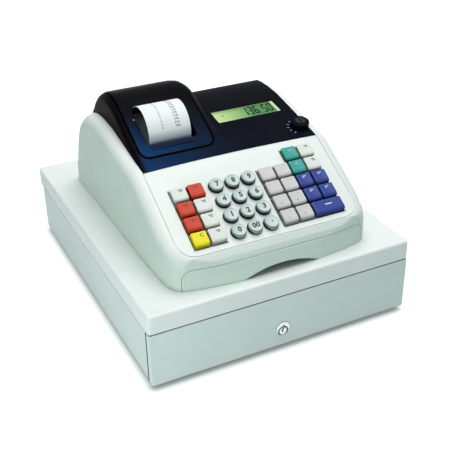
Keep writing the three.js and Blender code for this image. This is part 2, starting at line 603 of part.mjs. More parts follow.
const pitch = KEY.base + KEY.apart;
const numberX = KEYBOARD.x - pitch + (KEYBOARD.leftAisle - KEYBOARD.rightAisle) / 2 - pitch;
const keyBlocks = {
  left: { x: numberX - pitch * 2 - KEYBOARD.leftAisle, row: pitch + KEYBOARD.sideRow },
  number: { x: numberX, row: pitch + KEYBOARD.numberRow },
  right: { x: numberX + pitch * 3 + KEYBOARD.rightAisle, row: pitch + KEYBOARD.sideRow },
};

// A sculpted square cap, or a wide one, on a stem; its skirt runs in the deck's opening
function squareKey(width) {
  const half = width / 2;
  const low = KEY.base / 2;
  const ring = (z, inset, front) => {
    const [hx, hy, shift] = [half - inset, low - (inset + front) / 2, (front - inset) / 2];
    const c = Math.max(KEY.corner - inset * 0.2, KEY.corner / 2);
    const points = [];
    for (const [sx, sy, order] of [[1, 1, 0], [-1, 1, 1], [-1, -1, 0], [1, -1, 1]]) {
      const pair = [[hx, hy - c], [hx - c * 0.3, hy - c * 0.3], [hx - c, hy]];
      if (order) pair.reverse();
      pair.forEach(([x, y]) => points.push(new THREE.Vector3(sx * x, sy * y + shift, z)));
    }
    return points;
  };
  const cap = solid(skin([
    ring(-KEY.skirt, 0, 0), ring(0, 0, 0),
    ...rollShares.map(([rise, reach, side]) => ring(
      KEY.rollStart + (KEY.height - KEY.rollStart) * rise, KEY.slope * side, KEY.back + KEY.roll * reach)),
  ]));
  const dishRadius = (half * half + KEY.dish * KEY.dish) / (2 * KEY.dish);
  const dish = solid(bar('y', dishRadius, -KEY.base, KEY.base, 0, KEY.height - KEY.dish + dishRadius, 120));
  const stem = boxSolid(
    -KEY.stem / 2, KEY.stem / 2, -KEY.stem / 2, KEY.stem / 2, -KEY.skirt - KEY.stemLength, -KEY.skirt / 2);
  return cap.subtract(dish).add(stem);
}

// A round cap with a dished top
function roundKey() {
  const roundTop = KEY.round - KEY.roundSlope;
  const outline = [
    [0, -KEY.skirt], [KEY.round, -KEY.skirt], [KEY.round, 0],
    [roundTop, KEY.roundHeight - KEY.crown], [roundTop - KEY.crown, KEY.roundHeight],
    [roundTop * 0.5, KEY.roundHeight - KEY.dish], [0, KEY.roundHeight - KEY.dish * 1.3],
  ].map(([x, y]) => new THREE.Vector2(x, y));
  const cap = solid(new THREE.LatheGeometry(outline, 16).rotateX(Math.PI / 2));
  const stem = boxSolid(
    -KEY.stem / 2, KEY.stem / 2, -KEY.stem / 2, KEY.stem / 2, -KEY.skirt - KEY.stemLength, -KEY.skirt / 2);
  return cap.add(stem);
}
const caps = {
  square: geometryOf(squareKey(KEY.base)),
  wide: geometryOf(squareKey(KEY.base + pitch)),
  round: geometryOf(roundKey()),
};
// Rows count up from the front edge; each entry is [name, kind, block, column, row, colour]
const keys = [];
const leftColours = [['yellow', 'white'], ['red', 'white'], ['red', 'white'], ['white', 'red']];
const rightColours = [
  ['grey', 'grey', 'blue'], ['grey', 'grey', 'blue', 'blue'], ['grey', 'grey', 'blue', 'blue'],
  ['grey', 'grey', 'green', 'white'],
];
leftColours.forEach((line, row) => line.forEach(
  (colour, column) => keys.push([`key_left_${row}_${column}`, 'square', 'left', column, row, colour])));
for (let row = 0; row < 4; row += 1) {
  for (let column = 0; column < 3; column += 1) {
    keys.push([`key_number_${row}_${column}`, 'round', 'number', column, row, 'number']);
  }
}
rightColours.forEach((line, row) => line.forEach((colour, column) => {
  const wide = row === 0 && column === 2;
  keys.push([`key_right_${row}_${column}`, wide ? 'wide' : 'square', 'right', wide ? 2.5 : column, row,
    colour]);
}));
keys.push(['key_right_4_2', 'square', 'right', 2, 4, 'green'],
  ['key_right_4_3', 'square', 'right', 3, 4, 'white']);
const keyHoles = [];
for (const [name, kind, block_, column, row, colour] of keys) {
  const x = keyBlocks[block_].x + column * pitch;
  const y = KEYBOARD.middle + (row - 1.5) * keyBlocks[block_].row;
  const key = meshOf(name, caps[kind], colour, deckFrame);
  key.position.set(x, y, 0);
  const half = KEY.base / 2 + KEY.hole;
  const wide = kind === 'wide' ? pitch / 2 : 0;
  const hole = kind === 'round'
    ? bar('z', KEY.round + KEY.hole, -OVER, OVER, x, y, 16)
    : rounded(x - half - wide, x + half + wide, y - half, y + half, KEY.corner / 2,
      [[-OVER, 0], [OVER, 0]], 1);
  keyHoles.push(solid(onDeck(hole)));
}

// Register shell

// Fine parting lines: each is a ring between two outlines, cut a little way into the skin
const deckRing = (grow, over) => solid(onDeck(rounded(
  -DECK_LINE.halfWidth - grow, DECK_LINE.halfWidth + grow, DECK_LINE.start - grow,
  DECK.run / Math.cos(tilt) + DECK_LINE.corner + grow, DECK_LINE.corner + grow,
  [[-DECK_LINE.depth - over, 0], [OVER + over, 0]], 5)));
const deckLine = deckRing(DECK_LINE.width / 2, 0).subtract(deckRing(-DECK_LINE.width / 2, OVER));
const lineTop = LID_TOP + FRONT_LINE.height;
const frontRing = (grow, over) => solid(facing(
  -FRONT_LINE.halfWidth - grow, FRONT_LINE.halfWidth + grow, LID_TOP - FRONT_LINE.corner * 2, lineTop + grow,
  FRONT_LINE.corner + grow, [[-over, 0], [CORNER.depth + over, 0]]));
const frontLine = frontRing(FRONT_LINE.width / 2, 0).subtract(frontRing(-FRONT_LINE.width / 2, OVER))
  .subtract(register(FRONT_LINE.depth, LID_TOP - OVER));

// Half-moon hand recess at the foot of the front
const recessRadius = (RECESS.halfWidth ** 2 + RECESS.height ** 2) / (2 * RECESS.height);
const recessZ = LID_TOP + RECESS.height - recessRadius;
const recessDisc = (grow, y0, y1) => solid(bar('y', recessRadius + grow, y0, y1, RECESS.x, recessZ, 120))
  .intersect(boxSolid(-BOX.width, BOX.width, y0 - OVER, y1 + OVER, LID_TOP - OVER, LID_TOP + REG.shoulder));
const recessCut = recessDisc(0, REG.front - OVER, REG.front + RECESS.depth);

// Opening of the printer bay, and the cord gland's blind boss on the back
const seat = solid(rounded(
  SEAT.left, SEAT.right, SEAT.front, SEAT.back, SEAT.corner,
  [[deckHigh.z - OVER * 3, 0], [humpZ + HUMP.radius, 0]]));
const glandZ = LID_TOP + GLAND.z;
const backAt = (z) => {
  const rear = profile.slice(-8).map(([y, top]) => [-top, y]);
  return between(rear, -z);
};
const glandBack = backAt(glandZ) + GLAND.proud;
const glandBoss = solid(bar('y', GLAND.radius, backAt(glandZ) - REG.wall * 2, glandBack, GLAND.x, glandZ));
const glandBore = solid(bar('y', GLAND.bore, glandBack - GLAND.depth, glandBack + OVER, GLAND.x, glandZ));

const shell = regOuter.subtract(register(REG.wall, LID_TOP - OVER))
  .subtract(joined([...keyHoles, recessCut, seat, lcdPass, ringBore, deckLine, frontLine]));
node('upper_housing', shell.add(glandBoss).subtract(glandBore), 'shell');

// Base pan with the pocket behind the hand recess
const inside = register(REG.wall + CLEAR, LID_TOP - OVER);
const panTop = LID_TOP + PAN.thick;
const pan = inside.intersect(boxSolid(-BOX.width, BOX.width, 0, BOX.depth, LID_TOP, panTop));
const pocketBack = REG.front + RECESS.depth;
const pocket = recessDisc(RECESS.wall + JOIN, REG.front, pocketBack + RECESS.wall)
  .intersect(boxSolid(-BOX.width, BOX.width, 0, BOX.depth, LID_TOP,
    LID_TOP + REG.shoulder)).intersect(inside);
const pocketHollow = recessDisc(0, REG.front - OVER, pocketBack);
node('lower_housing', pan.add(pocket).subtract(pocketHollow), 'dark');

// Boards

const boardTop = -KEY.skirt - KEY.stemLength - KEY.travel - SLIDE;
const board = [boxSolid(
  -BOARD.halfWidth, BOARD.halfWidth, BOARD.start, BOARD.start + BOARD.length, boardTop - BOARD.thick,
    boardTop)];
const leftAisle = (keyBlocks.left.x + pitch + KEY.base / 2 + keyBlocks.number.x - KEY.round) / 2;
const rightAisle = (keyBlocks.number.x + pitch * 2 + KEY.round + keyBlocks.right.x - KEY.base / 2) / 2;
for (const x of [leftAisle, rightAisle]) {
  for (const row of [-1.5, 0, 1.5]) {
    board.push(solid(bar('z', BOARD.post, boardTop - JOIN, -BOARD.under, x,
      KEYBOARD.middle + row * pitch, 10)));
  }
}
meshOf('keyboard_board', geometryOf(joined(board)), 'board', deckFrame);

const mainBase = panTop + CLEAR;
const mainZ = mainBase + MAIN.postHeight;
const main = [boxSolid(MAIN.x, MAIN.x + MAIN.width, MAIN.y, MAIN.y + MAIN.length, mainZ, mainZ + MAIN.thick)];
for (const x of [MAIN.x + MAIN.postInset, MAIN.x + MAIN.width - MAIN.postInset]) {
  for (const y of [MAIN.y + MAIN.postInset, MAIN.y + MAIN.length - MAIN.postInset]) {
    main.push(solid(bar('z', MAIN.post, mainBase, mainZ + JOIN, x, y, 10)));
  }
}
const coilY = MAIN.y + MAIN.coilInset;
main.push(boxSolid(
  MAIN.x + MAIN.coilX, MAIN.x + MAIN.coilX + MAIN.coilWidth, coilY, coilY + MAIN.coilLength,
  mainZ, mainZ + MAIN.thick + MAIN.coilHeight));
node('main_board', joined(main), 'board');

// Printer

const plateX = [PAPER.x - FRAME.inner / 2 - FRAME.plate, PAPER.x + FRAME.inner / 2];
const rollerY = CURL.y - CURL.radius + ROLLER.radius + CLEAR + PAPER.thick;
const plates = plateX.map((x) => boxSolid(
  x, x + FRAME.plate, FRAME.front, FRAME.back, panTop + CLEAR, FRAME.top));
const frameBase = boxSolid(
  plateX[0], plateX[1] + FRAME.plate, FRAME.front, FRAME.back, panTop + CLEAR, panTop + CLEAR + FRAME.base);
const pin = solid(bar('x', FRAME.pin, plateX[0] + JOIN, plateX[1] + JOIN, ROLL.y, ROLL.z));
const head = boxSolid(plateX[0] + JOIN, plateX[1] + JOIN, HEAD.y, HEAD.y + HEAD.length, HEAD.z,
  HEAD.z + HEAD.height);
const axleBore = solid(bar(
  'x', ROLLER.axle + CLEAR, plateX[0] - OVER, plateX[1] + FRAME.plate + OVER, rollerY, ROLLER.z, 16));
node('printer_frame', joined([...plates, frameBase, pin]).subtract(axleBore).add(head), 'dark');

const wheelX = plateX[0] - CLEAR;
node('feed_roller', joined([
  solid(bar('x', ROLLER.radius, PAPER.x - ROLLER.length / 2, PAPER.x + ROLLER.length / 2, rollerY,
  ROLLER.z, 24)),
  solid(bar('x', ROLLER.axle, wheelX - ROLLER.wheelWidth / 2, plateX[1] + FRAME.plate + JOIN, rollerY,
  ROLLER.z, 16)),
  solid(bar('x', ROLLER.wheel, wheelX - ROLLER.wheelWidth, wheelX, rollerY, ROLLER.z)),
]), 'rubber');

const half = PAPER.width / 2;
node('paper_roll', solid(bar('x', ROLL.radius, PAPER.x - half, PAPER.x + half, ROLL.y, ROLL.z, 40))
  .subtract(solid(bar('x', ROLL.core, PAPER.x - half - OVER, PAPER.x + half + OVER, ROLL.y, ROLL.z,
    24))), 'paper');

// The strip leaves the roll below, turns round the feed roller and curls back over the slot
const run = PAPER.thick / 2 + CLEAR;
const reach = [ROLL.y - rollerY, ROLL.z - ROLLER.z];
const span = Math.hypot(...reach);
const along = reach.map((part) => part / span);
const closing = (ROLL.radius - ROLLER.radius) / span;
const falling = Math.sqrt(1 - closing * closing);
const lowSide = [-closing * along[0] + falling * along[1], -closing * along[1] - falling * along[0]];
const lowAngle = Math.atan2(lowSide[1], lowSide[0]);
const strip = [[ROLL.y + (ROLL.radius + run) * lowSide[0], ROLL.z + (ROLL.radius + run) * lowSide[1]]];
for (let i = 0; i <= 6; i += 1) {
  const angle = lowAngle + (-Math.PI - lowAngle) * i / 6;
  strip.push([rollerY + (ROLLER.radius + run) * Math.cos(angle),
    ROLLER.z + (ROLLER.radius + run) * Math.sin(angle)]);
}
for (let i = 0; i <= 16; i += 1) {
  const angle = Math.PI + (rad(CURL.end) - Math.PI) * i / 16;
  strip.push([CURL.y + (CURL.radius - run) * Math.cos(angle),
    CURL.z + (CURL.radius - run) * Math.sin(angle)]);
}
const sideOf = (amount) => strip.map(([y, z], i) => {
  const before = strip[Math.max(i - 1, 0)];
  const after = strip[Math.min(i + 1, strip.length - 1)];
  const length = Math.hypot(after[0] - before[0], after[1] - before[1]);
  return [y - amount * (after[1] - before[1]) / length, z + amount * (after[0] - before[0]) / length];
});
const ribbon = [...sideOf(PAPER.thick / 2), ...sideOf(-PAPER.thick / 2).reverse()];
node('receipt_paper', solid(across(ribbon, PAPER.x - half, PAPER.x + half)), 'paper');

export default machine;
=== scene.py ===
"""Electronic cash register on a steel cash drawer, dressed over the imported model. All sizes are in metres."""
import math

import bmesh
import bpy
from mathutils import Euler, Matrix, Vector


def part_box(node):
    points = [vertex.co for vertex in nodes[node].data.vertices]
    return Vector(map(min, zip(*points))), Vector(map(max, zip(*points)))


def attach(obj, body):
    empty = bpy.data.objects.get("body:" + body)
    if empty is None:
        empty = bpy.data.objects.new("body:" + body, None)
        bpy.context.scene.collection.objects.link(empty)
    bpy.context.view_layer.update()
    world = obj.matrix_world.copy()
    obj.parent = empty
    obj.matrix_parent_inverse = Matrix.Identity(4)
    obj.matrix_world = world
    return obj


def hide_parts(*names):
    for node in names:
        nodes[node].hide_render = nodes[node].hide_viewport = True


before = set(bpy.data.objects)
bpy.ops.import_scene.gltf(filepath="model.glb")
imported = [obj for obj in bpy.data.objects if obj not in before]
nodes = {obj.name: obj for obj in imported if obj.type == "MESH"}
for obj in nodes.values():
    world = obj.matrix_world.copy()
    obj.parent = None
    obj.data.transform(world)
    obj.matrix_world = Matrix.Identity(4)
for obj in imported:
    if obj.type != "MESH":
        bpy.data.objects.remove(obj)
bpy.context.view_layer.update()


# Camera: a portrait lens from the front left, a little above the keyboard's slope,
# leaning slightly to one side.
lens_mm, sensor_mm = 66.77, 36
view_turn, view_height, view_lean = math.radians(-26.23), math.radians(29.87), math.radians(-0.895)
camera_place = (-0.40118, -0.87304, 0.60747)


def shown(name, data, place=Matrix()):
    """An object in the scene."""
    made = bpy.data.objects.new(name, data)
    made.matrix_world = place
    bpy.context.scene.collection.objects.link(made)
    return made


camera = shown("camera", bpy.data.cameras.new("camera"), Matrix.Translation(camera_place) @ Euler(
    (math.pi / 2 - view_height, 0, view_turn)).to_matrix().to_4x4() @ Matrix.Rotation(view_lean, 4, "Z"))
camera.data.sensor_width, camera.data.lens = sensor_mm, lens_mm
bpy.context.scene.camera = camera


# Drawer case, lid and front: folded steel sheet under a fine stoved enamel, spot-welded, on four
# turned feet. The lid is a shallow tray turned over the case, and the drawer front closes the mouth;
# dark rubber bands under the lid's rim and round the front's back edge are painted shade.
def feed(node, sockets):
    """Fills a node's sockets with values, or joins them to what feeds them."""
    for key, value in sockets.items():
        if isinstance(value, bpy.types.Node):
            value = value.outputs[0]
        if isinstance(value, bpy.types.NodeSocket):
            node.id_data.links.new(value, node.inputs[key])
        else:
            node.inputs[key].default_value = value
    return node


def put(tree, kind, sockets=None, **settings):
    """One node of a tree, with its settings made and its sockets fed."""
    node = tree.nodes.new(kind)
    for key, value in settings.items():
        setattr(node, key, value)
    return feed(node, sockets or {})


def sums(tree, operation, *values):
    """The result of one sum."""
    return put(tree, "ShaderNodeMath", dict(enumerate(values)), operation=operation).outputs[0]


def arrows(tree, operation, *values):
    """The result of one sum on vectors, which is a number for a length or a dot product."""
    found = put(tree, "ShaderNodeVectorMath", dict(enumerate(values)), operation=operation).outputs
    return found["Value" if operation in ("LENGTH", "DOT_PRODUCT") else "Vector"]


def fade(tree, value, start, end, first=0.0, last=1.0):
    """A number that goes from first to last while value goes from start to end."""
    return put(tree, "ShaderNodeMapRange", {
        "Value": value, "From Min": start, "From Max": end, "To Min": first, "To Max": last}).outputs[0]


def mixed(tree, share, first, second, blend="MIX"):
    """Two colours mixed by the second one's share."""
    return put(tree, "ShaderNodeMix", {0: share, 6: first, 7: second}, data_type="RGBA",
               blend_type=blend).outputs[2]


def apart(tree, vector):
    """The three parts of a vector."""
    return put(tree, "ShaderNodeSeparateXYZ", {0: vector}).outputs


def noise(tree, vector, scale, detail, roughness=0.5):
    """Cloudy noise from 0 to 1."""
    return put(tree, "ShaderNodeTexNoise", {
        "Vector": vector, "Scale": scale, "Detail": detail, "Roughness": roughness}).outputs[0]


def spot_on(tree):
    """The place on the object that is being shaded."""
    return put(tree, "ShaderNodeTexCoord").outputs["Object"]


def rise_of(tree):
    """How far the surface faces up, from -1 to 1."""
    return apart(tree, put(tree, "ShaderNodeNewGeometry").outputs["Normal"])["Z"]


KINDS = {float: "Float", int: "Int", 3: "Vector", 4: "Color"}


def tree_of(name, takes, gives=None):
    """An empty shader group, or a geometry tree if nothing is said of what it gives, and the sockets
    that its named inputs feed. An input comes with its value, or with its kind where it has none."""
    tree = bpy.data.node_groups.new(name, "ShaderNodeTree" if gives else "GeometryNodeTree")
    for label, value in takes.items():
        kind = value if isinstance(value, str) else KINDS[
            len(value) if isinstance(value, tuple) else type(value)]
        socket = tree.interface.new_socket(name=label, in_out="INPUT", socket_type="NodeSocket" + kind)
        if kind != value:
            socket.default_value = value
    for label, kind in (gives or {"Geometry": "Geometry"}).items():
        tree.interface.new_socket(name=label, in_out="OUTPUT", socket_type="NodeSocket" + kind)
    return tree, put(tree, "NodeGroupInput").outputs


def paint(red, green, blue):
    """A colour as it looks on a screen, from 0 to 255, as Blender's own linear colour."""
    parts = [value / 255 for value in (red, green, blue)]
    return (*[p / 12.92 if p < 0.04045 else ((p + 0.055) / 1.055) ** 2.4 for p in parts], 1.0)


# Skin: fine grain, cloudy colour, and edges that catch the light and lose their colour
skin, given = tree_of("Moulded or sprayed skin", {
    "Colour": (0.8, 0.8, 0.8, 1), "Worn colour": (0.9, 0.9, 0.9, 1), "Roughness": 0.5,
    "Grain size": 0.0006, "Grain depth": 0.00002, "Edge radius": 0.0004, "Edge wear": 0.2, "Cloud": 0.1,
}, {"Colour": "Color", "Roughness": "Float", "Normal": "Vector"})
cloud_scale, cloud_grey, cloud_gloss = 21.0, (0.62, 0.64, 0.63, 1), 0.22
patch_start, patch_end, edge_start, edge_end = 0.42, 0.62, 0.995, 0.87
where = spot_on(skin)
grain = noise(skin, where, sums(skin, "DIVIDE", 1.0, given["Grain size"]), detail=3.0)
cloud = noise(skin, where, cloud_scale, detail=5.0, roughness=0.6)
round_edge = put(skin, "ShaderNodeBevel", {"Radius": given["Edge radius"]}, samples=4).outputs[0]
bump = put(skin, "ShaderNodeBump", {
    "Strength": 1.0, "Distance": given["Grain depth"], "Height": grain, "Normal": round_edge})
turned = arrows(skin, "DOT_PRODUCT", round_edge, put(skin, "ShaderNodeNewGeometry").outputs["Normal"])
patchy = fade(skin, cloud, patch_start, patch_end)
worn = sums(skin, "MULTIPLY", fade(skin, turned, edge_start, edge_end), patchy)
worn = sums(skin, "MULTIPLY", worn, given["Edge wear"])
shade = mixed(skin, sums(skin, "MULTIPLY", patchy, given["Cloud"]), given["Colour"], cloud_grey, "MULTIPLY")
rough = sums(skin, "MULTIPLY_ADD", sums(skin, "ADD", cloud, -0.5), cloud_gloss, given["Roughness"])
put(skin, "NodeGroupOutput", {
    "Colour": mixed(skin, worn, shade, given["Worn colour"]), "Roughness": rough, "Normal": bump})

# Dust: a thin uneven veil on what faces up
dust, given = tree_of("Settled dust", {"Colour": (0.8, 0.8, 0.8, 1), "Roughness": 0.5, "Amount": 0.1},
                      {"Colour": "Color", "Roughness": "Float"})
drift_scale, speck_scale, speck_weight, dust_dull = 34.0, 1400.0, 0.7, 0.6
speck_start, speck_end, lying_start, lying_end = 0.62, 0.72, 0.3, 1.0
where = spot_on(dust)
drift = noise(dust, where, drift_scale, detail=6.0, roughness=0.7)
specks = noise(dust, where, speck_scale, detail=1.0)
drift = sums(dust, "MULTIPLY_ADD", fade(dust, specks, speck_start, speck_end), speck_weight, drift)
veil = sums(dust, "MULTIPLY", fade(dust, rise_of(dust), lying_start, lying_end), drift)
veil = sums(dust, "MULTIPLY", veil, given["Amount"])
put(dust, "NodeGroupOutput", {
    "Colour": mixed(dust, veil, given["Colour"], paint(205, 205, 200)),
    "Roughness": sums(dust, "MULTIPLY_ADD", veil, dust_dull, given["Roughness"])})


worn_gain, worn_lift = 1.25, 0.03


def finish(name, colour, roughness=0.6, grain=0.0003, depth=0.000002, edge=0.0001, wear=0.0, bare=None,
           cloud=0.1, settled=0.0, metal=0.0, bend=1.5, pattern=None):
    """A finished surface: skin, dust and one shader that bends light by bend, its refractive index.
    With nothing more given it is a thin matt ink. pattern gives a colour socket of its own."""
    material = bpy.data.materials.new(name)
    material.use_nodes = True
    tree = material.node_tree
    surface = put(tree, "ShaderNodeGroup", {
        "Colour": pattern(tree) if pattern else colour,
        "Worn colour": bare or tuple(min(part * worn_gain + worn_lift, 1) for part in colour),
        "Roughness": roughness, "Grain size": grain, "Grain depth": depth, "Edge radius": edge,
        "Edge wear": wear, "Cloud": cloud}, node_tree=skin).outputs
    veiled = put(tree, "ShaderNodeGroup", {
        "Colour": surface["Colour"], "Roughness": surface["Roughness"], "Amount": settled},
        node_tree=dust).outputs
    feed(tree.nodes["Principled BSDF"], {
        "Base Color": veiled["Colour"], "Roughness": veiled["Roughness"], "Normal": surface["Normal"],
        "Metallic": metal, "IOR": bend})
    return material


def shape_in(tree, thing):
    """The mesh of an object that a tree is given."""
    return put(tree, "GeometryNodeObjectInfo", {"Object": thing}).outputs["Geometry"]


def marked(tree, name, kind="FLOAT_VECTOR"):
    """What the points or faces carry under this name."""
    return put(tree, "GeometryNodeInputNamedAttribute", {"Name": name}, data_type=kind)


def copies(tree, points, thing, **how):
    """One object repeated on points, with its Rotation or Scale if they are given."""
    return put(tree, "GeometryNodeInstanceOnPoints", {
        "Points": points, "Instance": shape_in(tree, thing), **how})


def settle(tree, repeated, material):
    """A tree's usual end: what is repeated made real, in its material."""
    real = put(tree, "GeometryNodeRealizeInstances", {0: repeated})
    put(tree, "NodeGroupOutput", {0: put(tree, "GeometryNodeSetMaterial", {
        "Geometry": real, "Material": material})})


def mesh_from(holder):
    """The plain mesh that an object shows, which takes the object's place."""
    scene_now = bpy.context.evaluated_depsgraph_get()
    made = bpy.data.meshes.new_from_object(
        holder.evaluated_get(scene_now), preserve_all_data_layers=True, depsgraph=scene_now)
    holder.modifiers.clear()
    bpy.data.objects.remove(holder)
    return made


def grown(tree, values, base=None):
    """The plain mesh that a geometry tree makes from these inputs, on a base mesh if there is one.
    Where the tree asks for an object, its mesh is enough."""
    holder = shown("holder", base or bpy.data.meshes.new("blank"))
    growth = holder.modifiers.new("growth", "NODES")
    growth.node_group = tree
    lent = []
    for item in tree.interface.items_tree:
        if item.in_out == "INPUT" and item.name in values:
            value = values[item.name]
            if isinstance(value, bpy.types.Mesh):
                value = bpy.data.objects.new(value.name, value)
                lent.append(value)
            growth[item.identifier] = value
    made = mesh_from(holder)
    for thing in lent:
        bpy.data.objects.remove(thing)
    return made


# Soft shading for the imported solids, whose facets would show: joined, smooth below an angle
softener, given = tree_of("Soft shading", {"Solid": "Geometry", "Crease angle": 0.6})
merged = put(softener, "GeometryNodeMergeByDistance", {"Geometry": given["Solid"], "Distance": 0.000002})
smooth = put(softener, "GeometryNodeSetShadeSmooth", {0: merged, "Shade Smooth": True}, domain="FACE")
crease = put(softener, "FunctionNodeCompare", {
    0: put(softener, "GeometryNodeInputMeshEdgeAngle"), 1: given["Crease angle"]}, operation="GREATER_THAN")
put(softener, "NodeGroupOutput", {0: put(softener, "GeometryNodeSetShadeSmooth", {
    0: smooth, "Selection": crease, "Shade Smooth": False}, domain="EDGE")})
crease_input = next(item.identifier for item in softener.interface.items_tree if item.name == "Crease angle")


def dress(material, *names, crease_angle=0.6):
    """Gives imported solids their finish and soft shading."""
    for name in names:
        solid = nodes[name]
        for place in solid.material_slots:
            place.link = "OBJECT"
            place.material = material
        soften = solid.modifiers.new("soft shading", "NODES")
        soften.node_group = softener
        soften[crease_input] = crease_angle
        weigh = solid.modifiers.new("flat faces stay flat", "WEIGHTED_NORMAL")
        weigh.keep_sharp = True


def piece(name, mesh, body, stands_for=(), crease_angle=0.6):
    """A finished mesh, already in its place, that rides on a body."""
    made = shown(name, mesh)
    form = bmesh.new()
    form.from_mesh(mesh)
    bmesh.ops.remove_doubles(form, verts=form.verts, dist=1e-7)
    bmesh.ops.recalc_face_normals(form, faces=form.faces)
    form.to_mesh(mesh)
    form.free()
    mesh.shade_smooth()
    mesh.set_sharp_from_angle(angle=crease_angle)
    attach(made, body)
    if stands_for:
        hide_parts(*stands_for)
    return made


def mesh_of(name, points, faces, materials=(), marks=None):
    """A plain mesh from points and faces, with a material number for each face if marks are given."""
    mesh = bpy.data.meshes.new(name)
    mesh.from_pydata([tuple(p) for p in points], [], faces)
    for material in materials:
        mesh.materials.append(material)
    if marks:
        mesh.polygons.foreach_set("material_index", marks)
    return mesh


corners = ((1, 1), (-1, 1), (-1, -1), (1, -1))


def rounded_ring(half_x, half_y, corner, height, shift=0.0, steps=4, between=1):
    """Points round a rectangle with rounded corners, with more between them along its sides."""
    ring = []
    for quarter, (side_x, side_y) in enumerate(corners):
        for step in range(steps + 1):
            turn = (quarter + step / steps) * math.pi / 2
            ring.append(Vector((side_x * (half_x - corner) + corner * math.cos(turn),
                                side_y * (half_y - corner) + corner * math.sin(turn) + shift, height)))
    whole = []
    for number, point in enumerate(ring):
        following = ring[(number + 1) % len(ring)]
        parts = between if number % (steps + 1) == steps else 1
        whole += [point.lerp(following, part / parts) for part in range(parts)]
    return whole


def rings_to_faces(count, rings, closed=False):
    """Faces between equal rings, with a face over the first and last unless they close on themselves."""
    faces = []
    for low in range(rings if closed else rings - 1):
        high = (low + 1) % rings
        for i in range(count):
            j = (i + 1) % count
            faces.append((low * count + i, low * count + j, high * count + j, high * count + i))
    if not closed:
        faces.append(tuple(reversed(range(count))))
        faces.append(tuple(range((rings - 1) * count, rings * count)))
    return faces


def shell(name, rings, closed=False, materials=()):
    """A mesh stretched over equal rings."""
    faces = rings_to_faces(len(rings[0]), len(rings), closed)
    return mesh_of(name, [p for ring in rings for p in ring], faces, materials)


def shade_band_of(name, outlines, body):
    """A closed dark rubber band through four equal outlines, laid as painted shade under a rim or along an
    edge.
    """
    band = shell(name, outlines, True, [dark_rubber_and_shade])
    piece(name, band, body, crease_angle=0.8)


enamel_make = {"roughness": 0.4, "grain": 0.0011, "depth": 0.00003, "edge": 0.0009, "wear": 0.2,
               "settled": 0.1}
# One enamel in two copies: the case's and front's painted deeper, as painted shade on upright sides, and the
# lid's painted paler, as painted light on its top.
enamel = finish("Body enamel", paint(219, 232, 228), cloud=0.08, **enamel_make)
lid_enamel_painted_paler = finish("Lid enamel", paint(236, 242, 240), cloud=0.06, **enamel_make)
dress(lid_enamel_painted_paler, "case_lid", crease_angle=0.9)
dress(enamel, "drawer_case", "drawer_front")

# Dark rubber for the real foot pads, and for the bands and strips that are painted shade under the lid's rim,
# round the drawer front and between the keys.
dark_rubber_and_shade = finish("Seal rubber", paint(30, 34, 34), roughness=0.75, grain=0.0004, depth=0.00003,
                     edge=0.0002, wear=0.1, cloud=0.2, settled=0.05)
front_low, front_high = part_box("drawer_front")
lid_low, lid_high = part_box("case_lid")
case_low, case_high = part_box("drawer_case")

# A dark band over the back edge of the drawer front, round the mouth of the case: painted shade in the gap
# there
front_band_proud, front_band_deep, front_band_wide, front_band_behind, front_band_corner = 0.00006, 0.0027, 0.0022, 0.0002, 0.0019
front_half = Vector(((front_high[0] - front_low[0]) / 2, (front_high[2] - front_low[2]) / 2))
front_middle = (front_low[2] + front_high[2]) / 2
shade_band_of("front_trim", [
    [Vector((p.x, front_high[1] - forward, front_middle + p.y)) for p in rounded_ring(
        front_half.x - inset, front_half.y - inset, front_band_corner, 0)]
    for inset, forward in ((-front_band_proud, -front_band_behind), (-front_band_proud, front_band_deep), (front_band_wide, front_band_deep),
                           (front_band_wide, -front_band_behind))], "drawer")

# A dark band under the lid's rim, lying round the case and over the drawer front: painted shade under the rim
rim_band_inset, rim_band_low, rim_band_high, rim_band_corner, case_clear = 0.0003, 0.00114, 0.00006, 0.0036, 0.00005
rim_band_outer = Vector((lid_high[0] - rim_band_inset, (lid_high[1] - lid_low[1]) / 2 - rim_band_inset))
rim_band_middle = (lid_high[1] + lid_low[1]) / 2
rim_band_wide = lid_high[0] - rim_band_inset - case_high[0] - case_clear
shade_band_of("lid_seal", [
    [Vector((p.x, rim_band_middle + p.y, lid_low[2] - drop)) for p in rounded_ring(
        rim_band_outer.x - inset, rim_band_outer.y - inset, rim_band_corner - inset, 0)]
    for inset, drop in ((0, rim_band_low), (0, rim_band_high), (rim_band_wide, rim_band_high), (rim_band_wide, rim_band_low))],
    "register")

# Foot pads, turned rubber rings pushed over the four feet, and pan-head screws in the lid's back
spread, given = tree_of("Fixings on marked points", {
    "Marked points": "Geometry", "Fixing": "Object", "Material": "Material"})
turn_out = put(spread, "FunctionNodeAlignRotationToVector", {"Vector": marked(spread, "outward")}, axis="Z")
each = copies(spread, given["Marked points"], given["Fixing"], Rotation=turn_out)
settle(spread, each, given["Material"])


def circle(radius, count, height=0.0):
    """Points round a circle about the upright axis."""
    return [Vector((radius * math.cos(i / count * 2 * math.pi), radius * math.sin(i / count * 2 * math.pi),
                    height)) for i in range(count)]


def marked_points(name, places, vectors):
    """A mesh of bare points, each carrying a vector under this name."""
    base = bpy.data.meshes.new(name)
    base.from_pydata(places, [], [])
    base.attributes.new(name, "FLOAT_VECTOR", "POINT").data.foreach_set(
        "vector", [value for vector in vectors for value in vector])
    return base


def fixings(name, outline, count, closed, places, outward, material):
    """Copies of one turned fixing at places, each facing outward, as one piece."""
    fixing = shell(name, [circle(radius, count, height) for radius, height in outline], closed)
    made = grown(spread, {"Fixing": fixing, "Material": material},
                 marked_points("outward", places, [outward] * len(places)))
    piece(name, made, "register", crease_angle=0.7)


